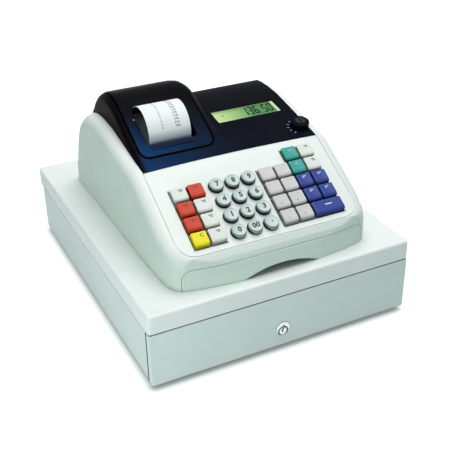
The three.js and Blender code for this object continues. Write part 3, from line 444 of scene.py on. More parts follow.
foot_radius, foot_inset = 0.011, 0.025
pad_outline = [(foot_radius, 0.0), (0.0118, 0.0), (0.0125, 0.0006), (0.0125, 0.0034), (0.0121, 0.0042),
               (foot_radius, 0.0044)]
foot_places = [(x, y, 0) for x in (case_low[0] + foot_inset, case_high[0] - foot_inset)
               for y in (case_low[1] + foot_inset, case_high[1] - foot_inset)]
fixings("foot_pads", pad_outline, count=32, closed=True, places=foot_places, outward=(0, 0, 1),
        material=dark_rubber_and_shade)

screw_zinc = finish("Zinc screw", (0.62, 0.63, 0.62, 1), roughness=0.3, grain=0.0006, depth=0.000006,
                    edge=0.0002, wear=0.2, cloud=0.3, settled=0.05, metal=1.0)
screw_outline = [(0.0034, -0.0002), (0.0034, 0.0001), (0.0032, 0.0007), (0.0026, 0.0012), (0.0017, 0.0014),
                 (0.0013, 0.0014), (0.0008, 0.0007), (0.0002, 0.0005)]
screw_height, screw_sunk, screws_x = 0.0835, 0.0016, (-0.13, -0.045, 0.045, 0.13)
screw_places = [(x, lid_high[1] - screw_sunk, screw_height) for x in screws_x]
fixings("lid_screws", screw_outline, count=20, closed=False, places=screw_places, outward=(0, 1, 0),
        material=screw_zinc)


# Drawer lock: a turned, chromed barrel with a key slot across a flat face.
lock_low, lock_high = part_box("drawer_lock")
lock_middle = ((lock_low[0] + lock_high[0]) / 2, 0, (lock_low[2] + lock_high[2]) / 2)
lock_radius = (lock_high[0] - lock_low[0]) / 2
plug_radius, gap_inner, gap_outer = lock_radius * 0.66, lock_radius * 0.08, lock_radius * 0.14
chrome_tone, painted_gap_shade = (0.62, 0.64, 0.64, 1), (0.04, 0.045, 0.045, 1)


def from_axis(tree, middle, across):
    """How far a point is from an axis through middle, measured along the two directions across it."""
    parts = apart(tree, arrows(tree, "SUBTRACT", spot_on(tree), middle))
    return arrows(tree, "LENGTH", put(tree, "ShaderNodeCombineXYZ", {way: parts[way] for way in across}))


def ringed(tree):
    """Bright plug and rim, with painted shade in the gap between them where the plug turns."""
    off_ring = sums(tree, "ABSOLUTE", sums(tree, "SUBTRACT", from_axis(tree, lock_middle, "XZ"), plug_radius))
    return mixed(tree, fade(tree, off_ring, gap_inner, gap_outer), painted_gap_shade, chrome_tone)


chrome = finish("Lock chrome", chrome_tone, roughness=0.16, grain=0.0004, depth=0.000004, edge=0.0003,
                wear=0.1, cloud=0.5, settled=0.02, metal=1.0, pattern=ringed)
dress(chrome, "drawer_lock")


# Drawer tub, cash tray and note clips: a zinc-plated sheet tub, a moulded dark tray that lies
# in it, and moulded clips on axles that hold the notes down.
zinc = finish("Zinc-plated sheet", (0.55, 0.58, 0.58, 1), roughness=0.38, grain=0.004, depth=0.00002,
              edge=0.0005, wear=0.2, cloud=0.45, settled=0.1, metal=0.9)
tray_plastic = finish("Tray plastic", paint(44, 48, 50), roughness=0.55, grain=0.0005, depth=0.00004,
                      edge=0.0008, wear=0.4, bare=paint(96, 98, 98), cloud=0.3, settled=0.2)
clip_plastic = finish("Clip plastic", paint(26, 28, 30), roughness=0.35, grain=0.0006, depth=0.00002,
                      edge=0.0006, wear=0.3, bare=paint(80, 82, 84), cloud=0.2, settled=0.15)
dress(zinc, "drawer_tub")
dress(tray_plastic, "cash_tray")
dress(clip_plastic, "note_clip_1", "note_clip_2", "note_clip_3", "note_clip_4")


# Register housing: one moulding of pale plastic with a fine spark-eroded texture, its upright faces a deeper
# grey-green as painted shade, over a base pan painted dark as the shade whose pocket shows through the hand
# recess.
housing_tone, painted_upright_shade = paint(230, 237, 233), paint(204, 221, 213)
upright_rise, level_rise = 0.25, 0.85


def painted_shade_on_upright(tree):
    """Palest on what faces up, a deeper grey-green on what stands upright: painted shade on the upright faces.
    """
    return mixed(tree, fade(tree, rise_of(tree), upright_rise, level_rise), painted_upright_shade, housing_tone)


housing_plastic = finish("Housing plastic", housing_tone, roughness=0.44, grain=0.0005, depth=0.000022,
                         edge=0.0005, wear=0.12, cloud=0.06, settled=0.06, pattern=painted_shade_on_upright)
# The base pan is painted dark, as the shade inside the hand recess where it shows.
base_in_painted_shade = finish("Base plastic", paint(48, 58, 56), grain=0.0006, depth=0.00003, edge=0.0005,
                      wear=0.2, cloud=0.2, settled=0.1)
dress(housing_plastic, "upper_housing", crease_angle=0.7)
dress(base_in_painted_shade, "lower_housing")


# Smoked cover and printer hatch: glossy, almost black mouldings, with painted blue light at the front left
# that fades further back, a browner flank, and painted shade in the groove round the hatch.
smoke_black, painted_blue_light, smoke_edge = paint(14, 14, 18), paint(22, 66, 116), paint(10, 16, 30)
groove_painted_shade, flank_brown = paint(5, 6, 9), paint(14, 8, 11)
blue_front, blue_rear, blue_left, blue_right = -0.07, 0.0, -0.1, 0.02
blue_least, blue_fall, edge_share = 0.1, 1.5, 0.4
flank_start, flank_end = -0.104, -0.1095
hatch_middle, hatch_reach, hatch_corner = (-0.0596, 0.04375, 0), (0.0354, 0.09, 1), 0.010
groove_middle, groove_half, groove_fade = 0.0008, 0.0011, 0.0019


def smoked(tree):
    """Painted blue light at the front left, fading to black upwards, to the right and outside the hatch, and
    painted shade in the hatch's groove.
    """
    where = spot_on(tree)
    parts = apart(tree, where)
    depth = fade(tree, parts["Y"], blue_front, blue_rear, 1.0, 0.0)
    width = sums(tree, "POWER", fade(tree, parts["X"], blue_left, blue_right, 1.0, blue_least), blue_fall)
    tone = mixed(tree, sums(tree, "MULTIPLY", depth, width), smoke_black, painted_blue_light)
    aside = arrows(tree, "ABSOLUTE", arrows(tree, "SUBTRACT", where, hatch_middle))
    aside = arrows(tree, "MAXIMUM", arrows(tree, "SUBTRACT", aside, hatch_reach), (0, 0, 0))
    aside = arrows(tree, "LENGTH", aside)
    off_groove = sums(tree, "ABSOLUTE", sums(tree, "SUBTRACT", aside, hatch_corner + groove_middle))
    outside = fade(tree, aside, hatch_corner, hatch_corner + groove_fade, 0.0, edge_share)
    tone = mixed(tree, outside, tone, smoke_edge)
    tone = mixed(tree, fade(tree, off_groove, groove_half, groove_fade, 1.0, 0.0), tone, groove_painted_shade)
    return mixed(tree, fade(tree, parts["X"], flank_start, flank_end), tone, flank_brown)


smoked_plastic = finish("Smoked plastic", smoke_black, roughness=0.24, grain=0.002, depth=0.000006,
                        edge=0.0006, wear=0.2, bare=paint(50, 54, 62), cloud=0.2, settled=0.008, bend=1.04,
                        pattern=smoked)
dress(smoked_plastic, "top_cover", "printer_cover", crease_angle=0.5)


# Display: a green liquid-crystal glass in the cover's window, with dark seven-bar figures at its right, a
# painted pale glint at the edge beside them, and painted shade along its far edge.
lcd_pale, lcd_deep, painted_bezel_shade, painted_edge_glint = (
    paint(200, 224, 156), paint(80, 138, 80), paint(64, 112, 72), paint(196, 218, 178))
deep_start, deep_end, far_start, far_end, far_share = 0.011, 0.062, 0.002, 0.0096, 0.65
light_start, light_end = 0.0915, 0.0925


def crystal(tree):
    """Pale yellow-green at the left, deeper towards the figures, with painted shade along the far edge and a
    painted glint at the right edge.
    """
    parts = apart(tree, spot_on(tree))
    tone = mixed(tree, fade(tree, parts["X"], deep_start, deep_end), lcd_pale, lcd_deep)
    far = fade(tree, parts["Y"], far_start, far_end, 0.0, far_share)
    tone = mixed(tree, far, tone, painted_bezel_shade)
    return mixed(tree, fade(tree, parts["X"], light_start, light_end), tone, painted_edge_glint)


display_glass = finish("Display glass", lcd_pale, roughness=0.3, grain=0.0006, edge=0.0002, cloud=0.04,
                       settled=0.02, bend=1.17, pattern=crystal)
figure_green = finish("Display figures", paint(12, 30, 20), roughness=0.35, grain=0.0006, bend=1.14)
dress(display_glass, "lcd_module")

glass_face = max((face for face in nodes["lcd_module"].data.polygons if face.normal.z > 0.9),
                 key=lambda face: face.area)
glass_spot, glass_out = glass_face.center.copy(), glass_face.normal.copy()
lcd_low, lcd_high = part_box("lcd_module")
glass_up = glass_out.cross(Vector((1, 0, 0))).normalized()
glass_centre_y = -0.00268
glass_middle = Vector(((lcd_low[0] + lcd_high[0]) / 2, glass_centre_y, 0))
glass_middle.z = glass_spot.z - (glass_middle.y - glass_spot.y) * glass_out.y / glass_out.z
figure_high, figure_wide, figure_step, figure_stroke = 0.0178, 0.0062, 0.0076, 0.0020
figures_right, point_room, point_back, point_radius, bar_gap, figure_lean = (
    0.0366, 0.0035, 0.0012, 0.0008, 0.0003, 0.08)
sign_x, sign_y, sign_half_x, sign_half_y = -0.0318, 0.0008, 0.0013, 0.0009
ink_thick, ink_sunk = 0.00012, 0.00002
bars_of = {"0": "abcdef", "1": "bc", "3": "abcdg", "5": "acdfg", "6": "acdefg"}
bar_places = {"a": (0, 1, 0), "g": (0, 0, 0), "d": (0, -1, 0), "b": (1, 0.5, 1), "c": (1, -0.5, 1),
              "f": (-1, 0.5, 1), "e": (-1, -0.5, 1)}


def plate(outline, low, high, surface=None):
    """A thin closed plate with this outline, between two heights over a surface."""
    floor_of = surface or (lambda x, y: 0.0)
    points = [Vector((x, y, floor_of(x, y) + height)) for height in (low, high) for x, y in outline]
    return points, rings_to_faces(len(outline), 2)


def gather(parts):
    """Several lots of points and faces as one."""
    points, faces = [], []
    for more_points, more_faces in parts:
        faces += [tuple(index + len(points) for index in face) for face in more_faces]
        points += more_points
    return points, faces


figure_plates = [[(sign_x + x * sign_half_x, sign_y + y * sign_half_y) for x, y in corners]]
for place, sign in enumerate("136.50"):
    if sign == ".":
        middle_x = figures_right - 2 * figure_step - point_back
        figure_plates.append([(middle_x + p.x, p.y - figure_high / 2) for p in circle(point_radius, 8)])
        continue
    middle_x = figures_right - figure_wide / 2 - (5 - place) * figure_step + (point_room if place < 3 else 0)
    for bar in bars_of[sign]:
        side, up_share, standing = bar_places[bar]
        half = (figure_high / 4 if standing else figure_wide / 2) - bar_gap
        thick = figure_stroke / 2
        outline = [(-half, 0), (-half + thick, -thick), (half - thick, -thick), (half, 0),
                   (half - thick, thick), (-half + thick, thick)]
        if standing:
            outline = [(-y, x) for x, y in outline]
        centre_x = middle_x + side * (figure_wide / 2 - thick * standing)
        centre_y = up_share * (figure_high / 2 - thick * (not standing))
        figure_plates.append([
            (x + centre_x + figure_lean * (y + centre_y), y + centre_y) for x, y in outline])
points, faces = gather([plate(outline, 0, ink_thick) for outline in figure_plates])
points = [glass_middle + Vector((p.x, 0, 0)) + glass_up * p.y + glass_out * (p.z - ink_sunk) for p in points]
piece("display_figures", mesh_of("display_figures", points, faces, [figure_green]), "register")


# Function switch: a dark turned lock in the cover's right shoulder, with printed marks round it.
black_plastic = finish("Black plastic", paint(12, 12, 14), roughness=0.3, grain=0.0005, depth=0.00001,
                       edge=0.0003, wear=0.12, bare=paint(60, 60, 66), cloud=0.2, settled=0.01, bend=1.25)
dress(black_plastic, "mode_lock")
pale_ink = finish("Pale printed ink", paint(200, 208, 226))
lock_marks, given = tree_of("Marks round a lock", {
    "Surface": "Object", "Mark": "Object", "Middle": (0.0, 0.0, 0.0), "Radius": 0.016,
    "First turn": 1.0, "Last turn": 3.0, "Marks": 5, "Material": "Material"})
line = put(lock_marks, "GeometryNodeMeshLine", {"Count": given["Marks"]})
turn = fade(lock_marks, put(lock_marks, "GeometryNodeInputIndex"), 0.0,
            sums(lock_marks, "SUBTRACT", given["Marks"], 1.0), given["First turn"], given["Last turn"])
away = put(lock_marks, "ShaderNodeCombineXYZ", {
    0: sums(lock_marks, "COSINE", turn), 1: sums(lock_marks, "SINE", turn)})
reach = put(lock_marks, "ShaderNodeVectorMath", {0: away, "Scale": given["Radius"]}, operation="SCALE")
fall = put(lock_marks, "GeometryNodeRaycast", {
    "Target Geometry": shape_in(lock_marks, given["Surface"]), "Ray Direction": (0.0, 0.0, -1.0),
    "Source Position": arrows(lock_marks, "ADD", reach, given["Middle"]), "Ray Length": 0.1}).outputs
stand_up = put(lock_marks, "FunctionNodeAlignRotationToVector", {"Vector": fall["Hit Normal"]}, axis="Z")
point_out = put(lock_marks, "FunctionNodeAlignRotationToVector", {
    "Rotation": stand_up, "Vector": away}, axis="X", pivot_axis="Z")
kept_turn = put(lock_marks, "GeometryNodeStoreNamedAttribute", {
    "Geometry": line, "Name": "stance", "Value": point_out}, data_type="QUATERNION")
laid = put(lock_marks, "GeometryNodeSetPosition", {"Geometry": kept_turn, "Position": fall["Hit Position"]})
each = copies(lock_marks, laid, given["Mark"], Rotation=marked(lock_marks, "stance", "QUATERNION"))
settle(lock_marks, each, given["Material"])


def laid_marks(name, rings, surface, middle, radius, turns, count, material, body):
    """Printed marks round a middle, dropped onto a cover from above it, as one piece."""
    made = grown(lock_marks, {
        "Surface": nodes[surface], "Mark": shell("mark", rings), "Middle": middle, "Radius": radius,
        "First turn": turns[0], "Last turn": turns[1], "Marks": count, "Material": material})
    piece(name, made, body)


mark_sunk, mark_half_long, mark_half_wide, mark_corner = 0.0001, 0.0015, 0.0003, 0.00029
switch_middle, switch_ring = (0.1006, -0.05225, 0.26), 0.0142
switch_turns = math.radians(118), math.radians(222)
mark_rings = [rounded_ring(mark_half_long, mark_half_wide, mark_corner, height, steps=2)
              for height in (-mark_sunk, ink_thick)]
laid_marks("switch_marks", mark_rings, surface="top_cover", middle=switch_middle, radius=switch_ring,
           turns=switch_turns, count=5, material=pale_ink, body="register")


# Keys: sprung caps on the sloping deck. Square ones have drafted sides, a broad rolled front edge
# and a hollow; round ones carry figures, with a pale dished top on a darker skirt.
cap_tree, given = tree_of("Cap on the deck", {
    "Cap": "Object", "Column": 0.0, "Row": 0.0, "Column pitch": 0.0202, "Row pitch": 0.02,
    "First column": 0.0, "First row": 0.0, "Deck foot": (0.0, 0.0, 0.0), "Deck tilt": 0.5,
    "Top": "Material", "Skirt": "Material", "Ink": "Material"})


def tilted(tree, shape, foot, tilt):
    """A shape that was made level, tilted about its foot and set there."""
    return put(tree, "GeometryNodeTransform", {
        "Geometry": shape, "Translation": foot, "Rotation": put(tree, "ShaderNodeCombineXYZ", {0: tilt})})


place = put(cap_tree, "ShaderNodeCombineXYZ", {
    0: sums(cap_tree, "MULTIPLY_ADD", given["Column"], given["Column pitch"], given["First column"]),
    1: sums(cap_tree, "MULTIPLY_ADD", given["Row"], given["Row pitch"], given["First row"])})
on_deck = put(cap_tree, "GeometryNodeTransform", {
    "Geometry": shape_in(cap_tree, given["Cap"]), "Translation": place})
last = put(cap_tree, "GeometryNodeRealizeInstances", {
    0: tilted(cap_tree, on_deck, given["Deck foot"], given["Deck tilt"])})
for number, label in enumerate(("Top", "Skirt", "Ink")):
    here = put(cap_tree, "FunctionNodeCompare", {2: marked(cap_tree, "zone", "INT"), 3: number},
               data_type="INT", operation="EQUAL")
    last = put(cap_tree, "GeometryNodeSetMaterial", {
        "Geometry": last, "Selection": here, "Material": given[label]})
put(cap_tree, "NodeGroupOutput", {0: last})

deck_foot, deck_tilt = (0.0, -0.17635, 0.136), math.radians(29.3)
cap_half, cap_proud, cap_top, skirt_down = 0.009, 0.0093, 0.0055, -0.006
skirt_edge, cap_start = 0.00015, 0.00025
column_pitch, side_row_pitch, number_row_pitch = 0.0202, 0.02, 0.021
rows_middle = 0.0488
block_start = {"left": -0.0848, "number": -0.0393, "right": 0.0246}
hollow, hollow_edge, corner_round = 0.00045, 0.0012, 0.0021
side_start, front_start, side_draft, front_roll, rear_roll, roll_start, rolls = (
    0.0002, 0.0004, 0.0009, 0.0046, 0.0008, 0.0020, 6)
dish_low, dish_deep, dish_radius, round_cap_sides = 0.00572, 0.0003, 0.0059, 36
cap_ease, hollow_shares = 0.0001, (0.85, 0.6, 0.35, 0.12)


def square_top(half):
    """The height of a square cap's hollowed top at a place on it."""
    inner = half - hollow_edge
    return lambda x, y: cap_top - hollow * max(1 - (x / inner) ** 2, 0)


def square_levels(half):
    """Rings of a square cap, from its skirt over the rolled front to the middle of its hollow."""
    def ring(side, front, rear, height, proud=cap_proud - cap_half):
        return rounded_ring(half + proud - side, cap_half + proud - (front + rear) / 2, corner_round, height,
                            (front - rear) / 2, steps=3, between=6)
    levels = [ring(0, 0, 0, skirt_down, 0.0), ring(0, 0, 0, skirt_edge, 0.0),
              ring(cap_ease, cap_ease, cap_ease, cap_start),
              ring(side_start, front_start, side_start, roll_start)]
    for step in range(1, rolls + 1):
        turn = step / rolls * math.pi / 2
        part = 1 - math.cos(turn)
        levels.append(ring(side_start + side_draft * part ** 1.5, front_start + front_roll * part,
                           side_start + rear_roll * part ** 1.5,
                           roll_start + (cap_top - roll_start) * math.sin(turn)))
    middle = (front_roll - rear_roll) / 2
    top_ring = levels[-1]
    for share in hollow_shares:
        levels.append([Vector((p.x * share, (p.y - middle) * share + middle, cap_top)) for p in top_ring])
    height_at = square_top(half)
    for ring_of in levels[4:]:
        for point in ring_of:
            drop = cap_top - height_at(point.x, point.y)
            point.z -= drop * min((point.z - roll_start) / (cap_top - roll_start), 1)
    return levels


def round_levels():
    """Rings of a round cap, from its dark skirt to the middle of its dished top."""
    outline = [(0.0088, skirt_down), (0.0088, 0.0), (0.00872, 0.0014), (0.0086, 0.0033), (0.0085, 0.0036),
               (0.00835, 0.0037), (0.0081, 0.0054), (0.00785, 0.0061), (0.0075, 0.0065), (0.0070, 0.0066),
               (0.0066, 0.0064), (0.0059, 0.0060), (0.0042, 0.0058), (0.0015, 0.00572)]
    return [circle(radius, round_cap_sides, height) for radius, height in outline]


def round_top(x, y):
    """The height of a round cap's dished top at a place on it."""
    return dish_low + dish_deep * min((x * x + y * y) / dish_radius ** 2, 1)


def lettered(text, size, middle, surface, bold=0.0):
    """Raised figures pressed onto a surface: points and faces."""
    curve = bpy.data.curves.new("figures", "FONT")
    curve.body = text
    curve.size = size
    curve.resolution_u = 2
    curve.align_x = "CENTER"
    curve.align_y = "CENTER"
    curve.extrude = ink_thick / 2
    curve.offset = bold
    mesh = mesh_from(shown("figures", curve))
    points = [Vector((v.co.x + middle[0], v.co.y + middle[1], v.co.z)) for v in mesh.vertices]
    for point in points:
        point.z += surface(point.x, point.y)
    faces = [tuple(face.vertices) for face in mesh.polygons]
    bpy.data.curves.remove(curve)
    bpy.data.meshes.remove(mesh)
    return points, faces


def printed_bar(x, y, half_long, half_high, surface):
    """A short printed bar with round ends on a cap's top."""
    outline = [(p.x + x, p.y + y) for p in rounded_ring(
        half_long, half_high, half_high * end_roundness, 0, steps=2)]
    return plate(outline, -ink_thick / 2, ink_thick, surface)


end_roundness, side_rise, top_rise, square_share, round_share = 0.98, -0.1, 0.72, 0.34, 0.4


def painted_shade_below(tone, share):
    """A cap's own colour on its top, and painted shade making it deeper down its sides."""
    deep = (*[part * share for part in tone[:3]], 1.0)
    return lambda tree: mixed(tree, fade(tree, rise_of(tree), side_rise, top_rise), deep, tone)


key_paints = {
    "white": paint(224, 228, 222), "grey": paint(206, 206, 205), "red": paint(198, 58, 22),
    "yellow": paint(240, 226, 10), "green": paint(54, 160, 150), "blue": paint(46, 66, 146),
}
key_make = {"grain": 0.0004, "depth": 0.00001, "wear": 0.1}
key_finishes = {
    colour: finish(f"Key plastic {colour}", tone, roughness=0.26, edge=0.0003, cloud=0.06, settled=0.03,
                   bend=1.27, pattern=painted_shade_below(tone, square_share), **key_make)
    for colour, tone in key_paints.items()
}
number_paint = paint(200, 216, 212)
number_top = finish("Figure key top", number_paint, roughness=0.3, edge=0.0002, cloud=0.06, settled=0.03,
                    bend=1.37, pattern=painted_shade_below(number_paint, round_share), **key_make)
number_skirt = finish("Figure key skirt", paint(30, 42, 42), roughness=0.4, edge=0.0002, settled=0.02,
                      bend=1.20, **key_make)
ink = finish("Printed ink", paint(40, 46, 52))
faint_ink = finish("Faint printed ink", paint(128, 128, 130))
deep_red_ink = finish("Deep red ink", paint(150, 34, 22))

# What is printed on each kind of cap: bars as middle and half size, and figures
printed_bars = {
    "white": [(0.0022, 0.0052, 0.0024, 0.0005), (0.0030, 0.0032, 0.0019, 0.0004)],
    "red": [(0.0008, 0.0050, 0.0028, 0.0005), (0.0012, 0.0032, 0.0020, 0.0004)],
    "blue": [(0.0004, 0.0050, 0.0026, 0.0006), (-0.0010, 0.0030, 0.0012, 0.0004)],
    "green": [(0.0002, 0.0036, 0.0022, 0.0004)],
    "grey": [(0.0034, 0.0060, 0.0009, 0.0004)],
    "wide": [(0.0012, 0.0022, 0.0046, 0.0008)],
    "yellow": [],
}
key_inks = {"blue": pale_ink, "green": pale_ink, "grey": faint_ink, "red": deep_red_ink}
figures = (("0", "00", "."), ("1", "2", "3"), ("4", "5", "6"), ("7", "8", "9"))
figure_size, figure_x, figure_y, point_y, figure_bold = 0.0088, 0.0007, 0.0002, 0.0024, 0.00038
clear_size, clear_place, small_size, small_place = 0.0064, (0.0030, 0.0040), 0.0034, (-0.0012, -0.0026)
letter_bold = 0.0001

# The front row's round caps are pale further down at the front: how far round, at each ring
chin_from = {2: -0.86, 3: -0.70, 4: -0.70}
skirt_rings = 5

# The caps of each block, row by row from the front
key_rows = {
    "left": ("yellow white", "red white", "red white", "white red"),
    "number": ("number number number",) * 4,
    "right": ("grey grey blue", "grey grey blue blue", "grey grey blue blue", "grey grey green white",
              "none none green white"),
}
keys = [(block, column, row, colour) for block, rows in key_rows.items() for row, caps in enumerate(rows)
        for column, colour in enumerate(caps.split()) if colour != "none"]

for block, column, row, colour in keys:
    name = f"key_{block}_{row}_{column}"
    wide = name == "key_right_0_2"
    row_pitch = number_row_pitch if block == "number" else side_row_pitch
    if block == "number":
        levels, top, skirt, surface = round_levels(), number_top, number_skirt, round_top
        text = figures[row][column]
        middle = figure_x, point_y if text == "." else figure_y
        prints = [lettered(text, figure_size, middle, surface, figure_bold)]
    else:
        half = cap_half + (column_pitch / 2 if wide else 0)
        levels, surface = square_levels(half), square_top(half)
        top = skirt = key_finishes[colour]
        prints = [printed_bar(*bar, surface) for bar in printed_bars["wide" if wide else colour]]
        if colour == "yellow":
            prints.append(lettered("C", clear_size, clear_place, surface, letter_bold))
        if colour == "grey" and row < 2:
            prints.append(lettered(str(1 + column + 2 * row), small_size, small_place, surface, letter_bold))
    count = len(levels[0])
    cap_points = [p for ring in levels for p in ring]
    points, faces = gather([(cap_points, rings_to_faces(count, len(levels)))] + prints)
    under = count * (len(levels) - 1)
    zones = [2 if i > under + 1 else int(i < count * skirt_rings or i == under) for i in range(len(faces))]
    if block == "number" and row == 0:
        for i in range(count * min(chin_from), count * skirt_rings):
            if math.sin((i % count + 0.5) / count * 2 * math.pi) < chin_from[i // count]:
                zones[i] = 0
    cap = mesh_of("cap", points, faces)
    cap.attributes.new("zone", "INT", "FACE").data.foreach_set("value", zones)
    made = grown(cap_tree, {
        "Cap": cap, "Column": float(column) + (0.5 if wide else 0.0), "Row": float(row),
        "Column pitch": column_pitch, "Row pitch": row_pitch, "First column": block_start[block],
        "First row": rows_middle - 1.5 * row_pitch, "Deck foot": deck_foot, "Deck tilt": deck_tilt,
        "Top": top, "Skirt": skirt, "Ink": key_inks.get(colour, ink)})
    piece(f"{name}_cap", made, f"body_{name}", (name,))

# Painted shade: thin dark strips on the deck, in the gaps between the square caps and along their left and
# front edges, where shade falls
gap_shade_tree, given = tree_of("Web between the caps", {
    "Strip middles": "Geometry", "Strip": "Object", "Deck foot": (0.0, 0.0, 0.0), "Deck tilt": 0.5,
    "Material": "Material"})
each = copies(gap_shade_tree, given["Strip middles"], given["Strip"], Scale=marked(gap_shade_tree, "stretch"))
settle(gap_shade_tree, tilted(gap_shade_tree, each, given["Deck foot"], given["Deck tilt"]), given["Material"])

square_keys = {(block, column, row) for block, column, row, _ in keys if block != "number"}
wide_end = ("right", 3, 0)
square_keys.add(wide_end)
edge_free, edge_bare, gap_shade_sunk, gap_shade_high = 0.0094, 0.0008, 0.0001, 0.0002
unit_half, unit_corner = 0.5, 0.02
spots, spans = [], []
for block, column, row in sorted(square_keys):
    x = block_start[block] + column * column_pitch
    y = rows_middle + (row - 1.5) * side_row_pitch
    beside, ahead = (block, column - 1, row) in square_keys, (block, column, row - 1) in square_keys
    if (block, column, row) != wide_end:
        reach = column_pitch - 2 * edge_free if beside else edge_bare
        spots.append((x - edge_free - reach / 2, y, 0.0))
        spans.append((reach, side_row_pitch, 1.0))
    reach = side_row_pitch - 2 * edge_free if ahead else edge_bare
    spots.append((x, y - edge_free - reach / 2, 0.0))
    spans.append((column_pitch, reach, 1.0))
gap_shade_strip = shell("strip", [
    rounded_ring(unit_half, unit_half, unit_corner, height, steps=2) for height in (-gap_shade_sunk, gap_shade_high)])
piece("key_web", grown(
    gap_shade_tree, {"Strip": gap_shade_strip, "Deck foot": deck_foot, "Deck tilt": deck_tilt, "Material": dark_rubber_and_shade},
    marked_points("stretch", spots, spans)), "register")


# Tear blade: a thin saw-edged strip of dark steel laid on the hatch's tear bar, in front of the
# paper slot. Each tooth is stamped with its share of the strip.
blade_tree, given = tree_of("Saw-edged blade", {
    "Tooth": "Object", "Teeth": 18, "Tooth step": 0.003, "First tooth": (0.0, 0.0, 0.0), "Slope": 0.5,
    "Material": "Material"})
teeth_line = put(blade_tree, "GeometryNodeMeshLine", {
    "Count": given["Teeth"], "Offset": put(blade_tree, "ShaderNodeCombineXYZ", {0: given["Tooth step"]})})
each = copies(blade_tree, teeth_line, given["Tooth"])
settle(blade_tree, tilted(blade_tree, each, given["First tooth"], given["Slope"]), given["Material"])

blade_steel = finish("Blade steel", paint(36, 32, 52), roughness=0.35, grain=0.0004, depth=0.000006,
                     wear=0.2, bare=paint(84, 76, 104), cloud=0.3, bend=1.08)
strip_middle, strip_width, blade_teeth = -0.0636, 0.052, 18
tooth_step = strip_width / blade_teeth
blade_heel, blade_gullet, blade_tip, bar_thick, blade_thick = 0.0024, 0.0050, 0.0062, 0.0012, 0.0005
blade_sunk, bar_foot_y, bar_foot_z = 0.00005, -0.04815, 0.20794
tooth_outline = [(-tooth_step / 2, blade_heel), (tooth_step / 2, blade_heel), (tooth_step / 2, blade_gullet),
                 (0, blade_tip), (-tooth_step / 2, blade_gullet)]
tooth = mesh_of("tooth", *plate(tooth_outline, bar_thick - blade_sunk, bar_thick + blade_thick))
blade = grown(blade_tree, {
    "Tooth": tooth, "Teeth": blade_teeth, "Tooth step": tooth_step, "Slope": deck_tilt,
    "First tooth": (strip_middle - strip_width / 2 + tooth_step / 2, bar_foot_y, bar_foot_z),
    "Material": blade_steel})
piece("tear_blade", blade, "hatch", crease_angle=0.5)

# A small pale dot on the hatch's left shoulder
dot_radius, dot_place = 0.0011, (-0.095, -0.00775, 0.28)
dot_rings = [circle(dot_radius, 16, height) for height in (-mark_sunk, ink_thick)]
laid_marks("latch_dot", dot_rings, surface="printer_cover", middle=dot_place, radius=0.0,
           turns=(0.0, 1.0), count=1, material=faint_ink, body="hatch")


# Printer: a dark frame with a spindle through the roll, a rubber feed roller, and thermal paper
# that leaves over the tear bar and curls back on itself.
roll_centre, roll_radius = (0.04525, 0.185), 0.034
layer_pace, tint_top, tint_low = 1800.0, 0.225, 0.2085
cell_scale, cell_stray, track_start, track_end, hole_start, hole_end = 160.0, 0.4, 0.44, 0.5, 0.13, 0.1


def wound(tree):
    """Faint rings of wound layers round the roll's axis."""
    away = sums(tree, "MULTIPLY", from_axis(tree, (0, *roll_centre), "YZ"), layer_pace)
    layers = put(tree, "ShaderNodeTexNoise", {"W": away, "Scale": 1.0, "Detail": 2.0}, noise_dimensions="1D")
    return mixed(tree, layers, paint(246, 247, 244), paint(214, 218, 216))


def painted_shade_low(tree):
    """White at the curl, with painted shade and a painted reflection of the cover's blue towards the slot."""
    return mixed(tree, fade(tree, apart(tree, spot_on(tree))["Z"], tint_top, tint_low), paint(233, 237, 237),
                 paint(86, 110, 140))


def traced(tree):
    """Green solder mask over branching tracks, with small plated holes."""
    cells = put(tree, "ShaderNodeTexVoronoi", {
        "Vector": spot_on(tree), "Scale": cell_scale, "Randomness": cell_stray},
        feature="F1", distance="MANHATTAN").outputs["Distance"]
    tone = mixed(tree, fade(tree, cells, track_start, track_end), paint(30, 92, 52), paint(58, 132, 76))
    return mixed(tree, fade(tree, cells, hole_start, hole_end), tone, paint(176, 164, 120))


roll_paper = finish("Wound paper", paint(240, 242, 238), roughness=0.85, depth=0.00001, edge=0.0003,
                    cloud=0.05, pattern=wound)
strip_paper = finish("Thermal paper", paint(244, 246, 248), grain=0.0002, depth=0.000006, cloud=0.03,
                     pattern=painted_shade_low)
faded_ink = finish("Thermal print", paint(112, 116, 140), roughness=0.7, grain=0.0002, cloud=0.3)
roller_rubber = finish("Roller rubber", paint(34, 36, 38), roughness=0.8, depth=0.00003, edge=0.0003,
                       wear=0.1, cloud=0.2, settled=0.05)
board_green = finish("Circuit board", paint(38, 104, 60), roughness=0.35, grain=0.0012, depth=0.00002,
                     edge=0.0002, wear=0.1, cloud=0.2, settled=0.1, pattern=traced)
dress(roll_paper, "paper_roll")
dress(roller_rubber, "feed_roller")
dress(black_plastic, "printer_frame")
dress(board_green, "keyboard_board", "main_board")

# The strip's path in Y and Z: off the roll, round the feed roller, up and over in its curl
strip_half, strip_thick, strip_run = strip_width / 2, 0.00012, 0.00045
curl_centre, curl_radius, curl_end = (-0.01075, 0.216), 0.030, math.radians(54)
roller_centre, roller_radius = (-0.03315, 0.188), 0.007
roller_steps, curl_steps = 12, 48
gap = Vector(roll_centre) - Vector(roller_centre)
low_turn = math.atan2(gap.y, gap.x) - math.pi + math.acos((roll_radius - roller_radius) / gap.length)


def arc(centre, radius, first, last, steps):
    """Places along an arc, both its ends among them."""
    turns = [first + (last - first) * step / steps for step in range(steps + 1)]
    return [Vector(centre) + radius * Vector((math.cos(turn), math.sin(turn))) for turn in turns]


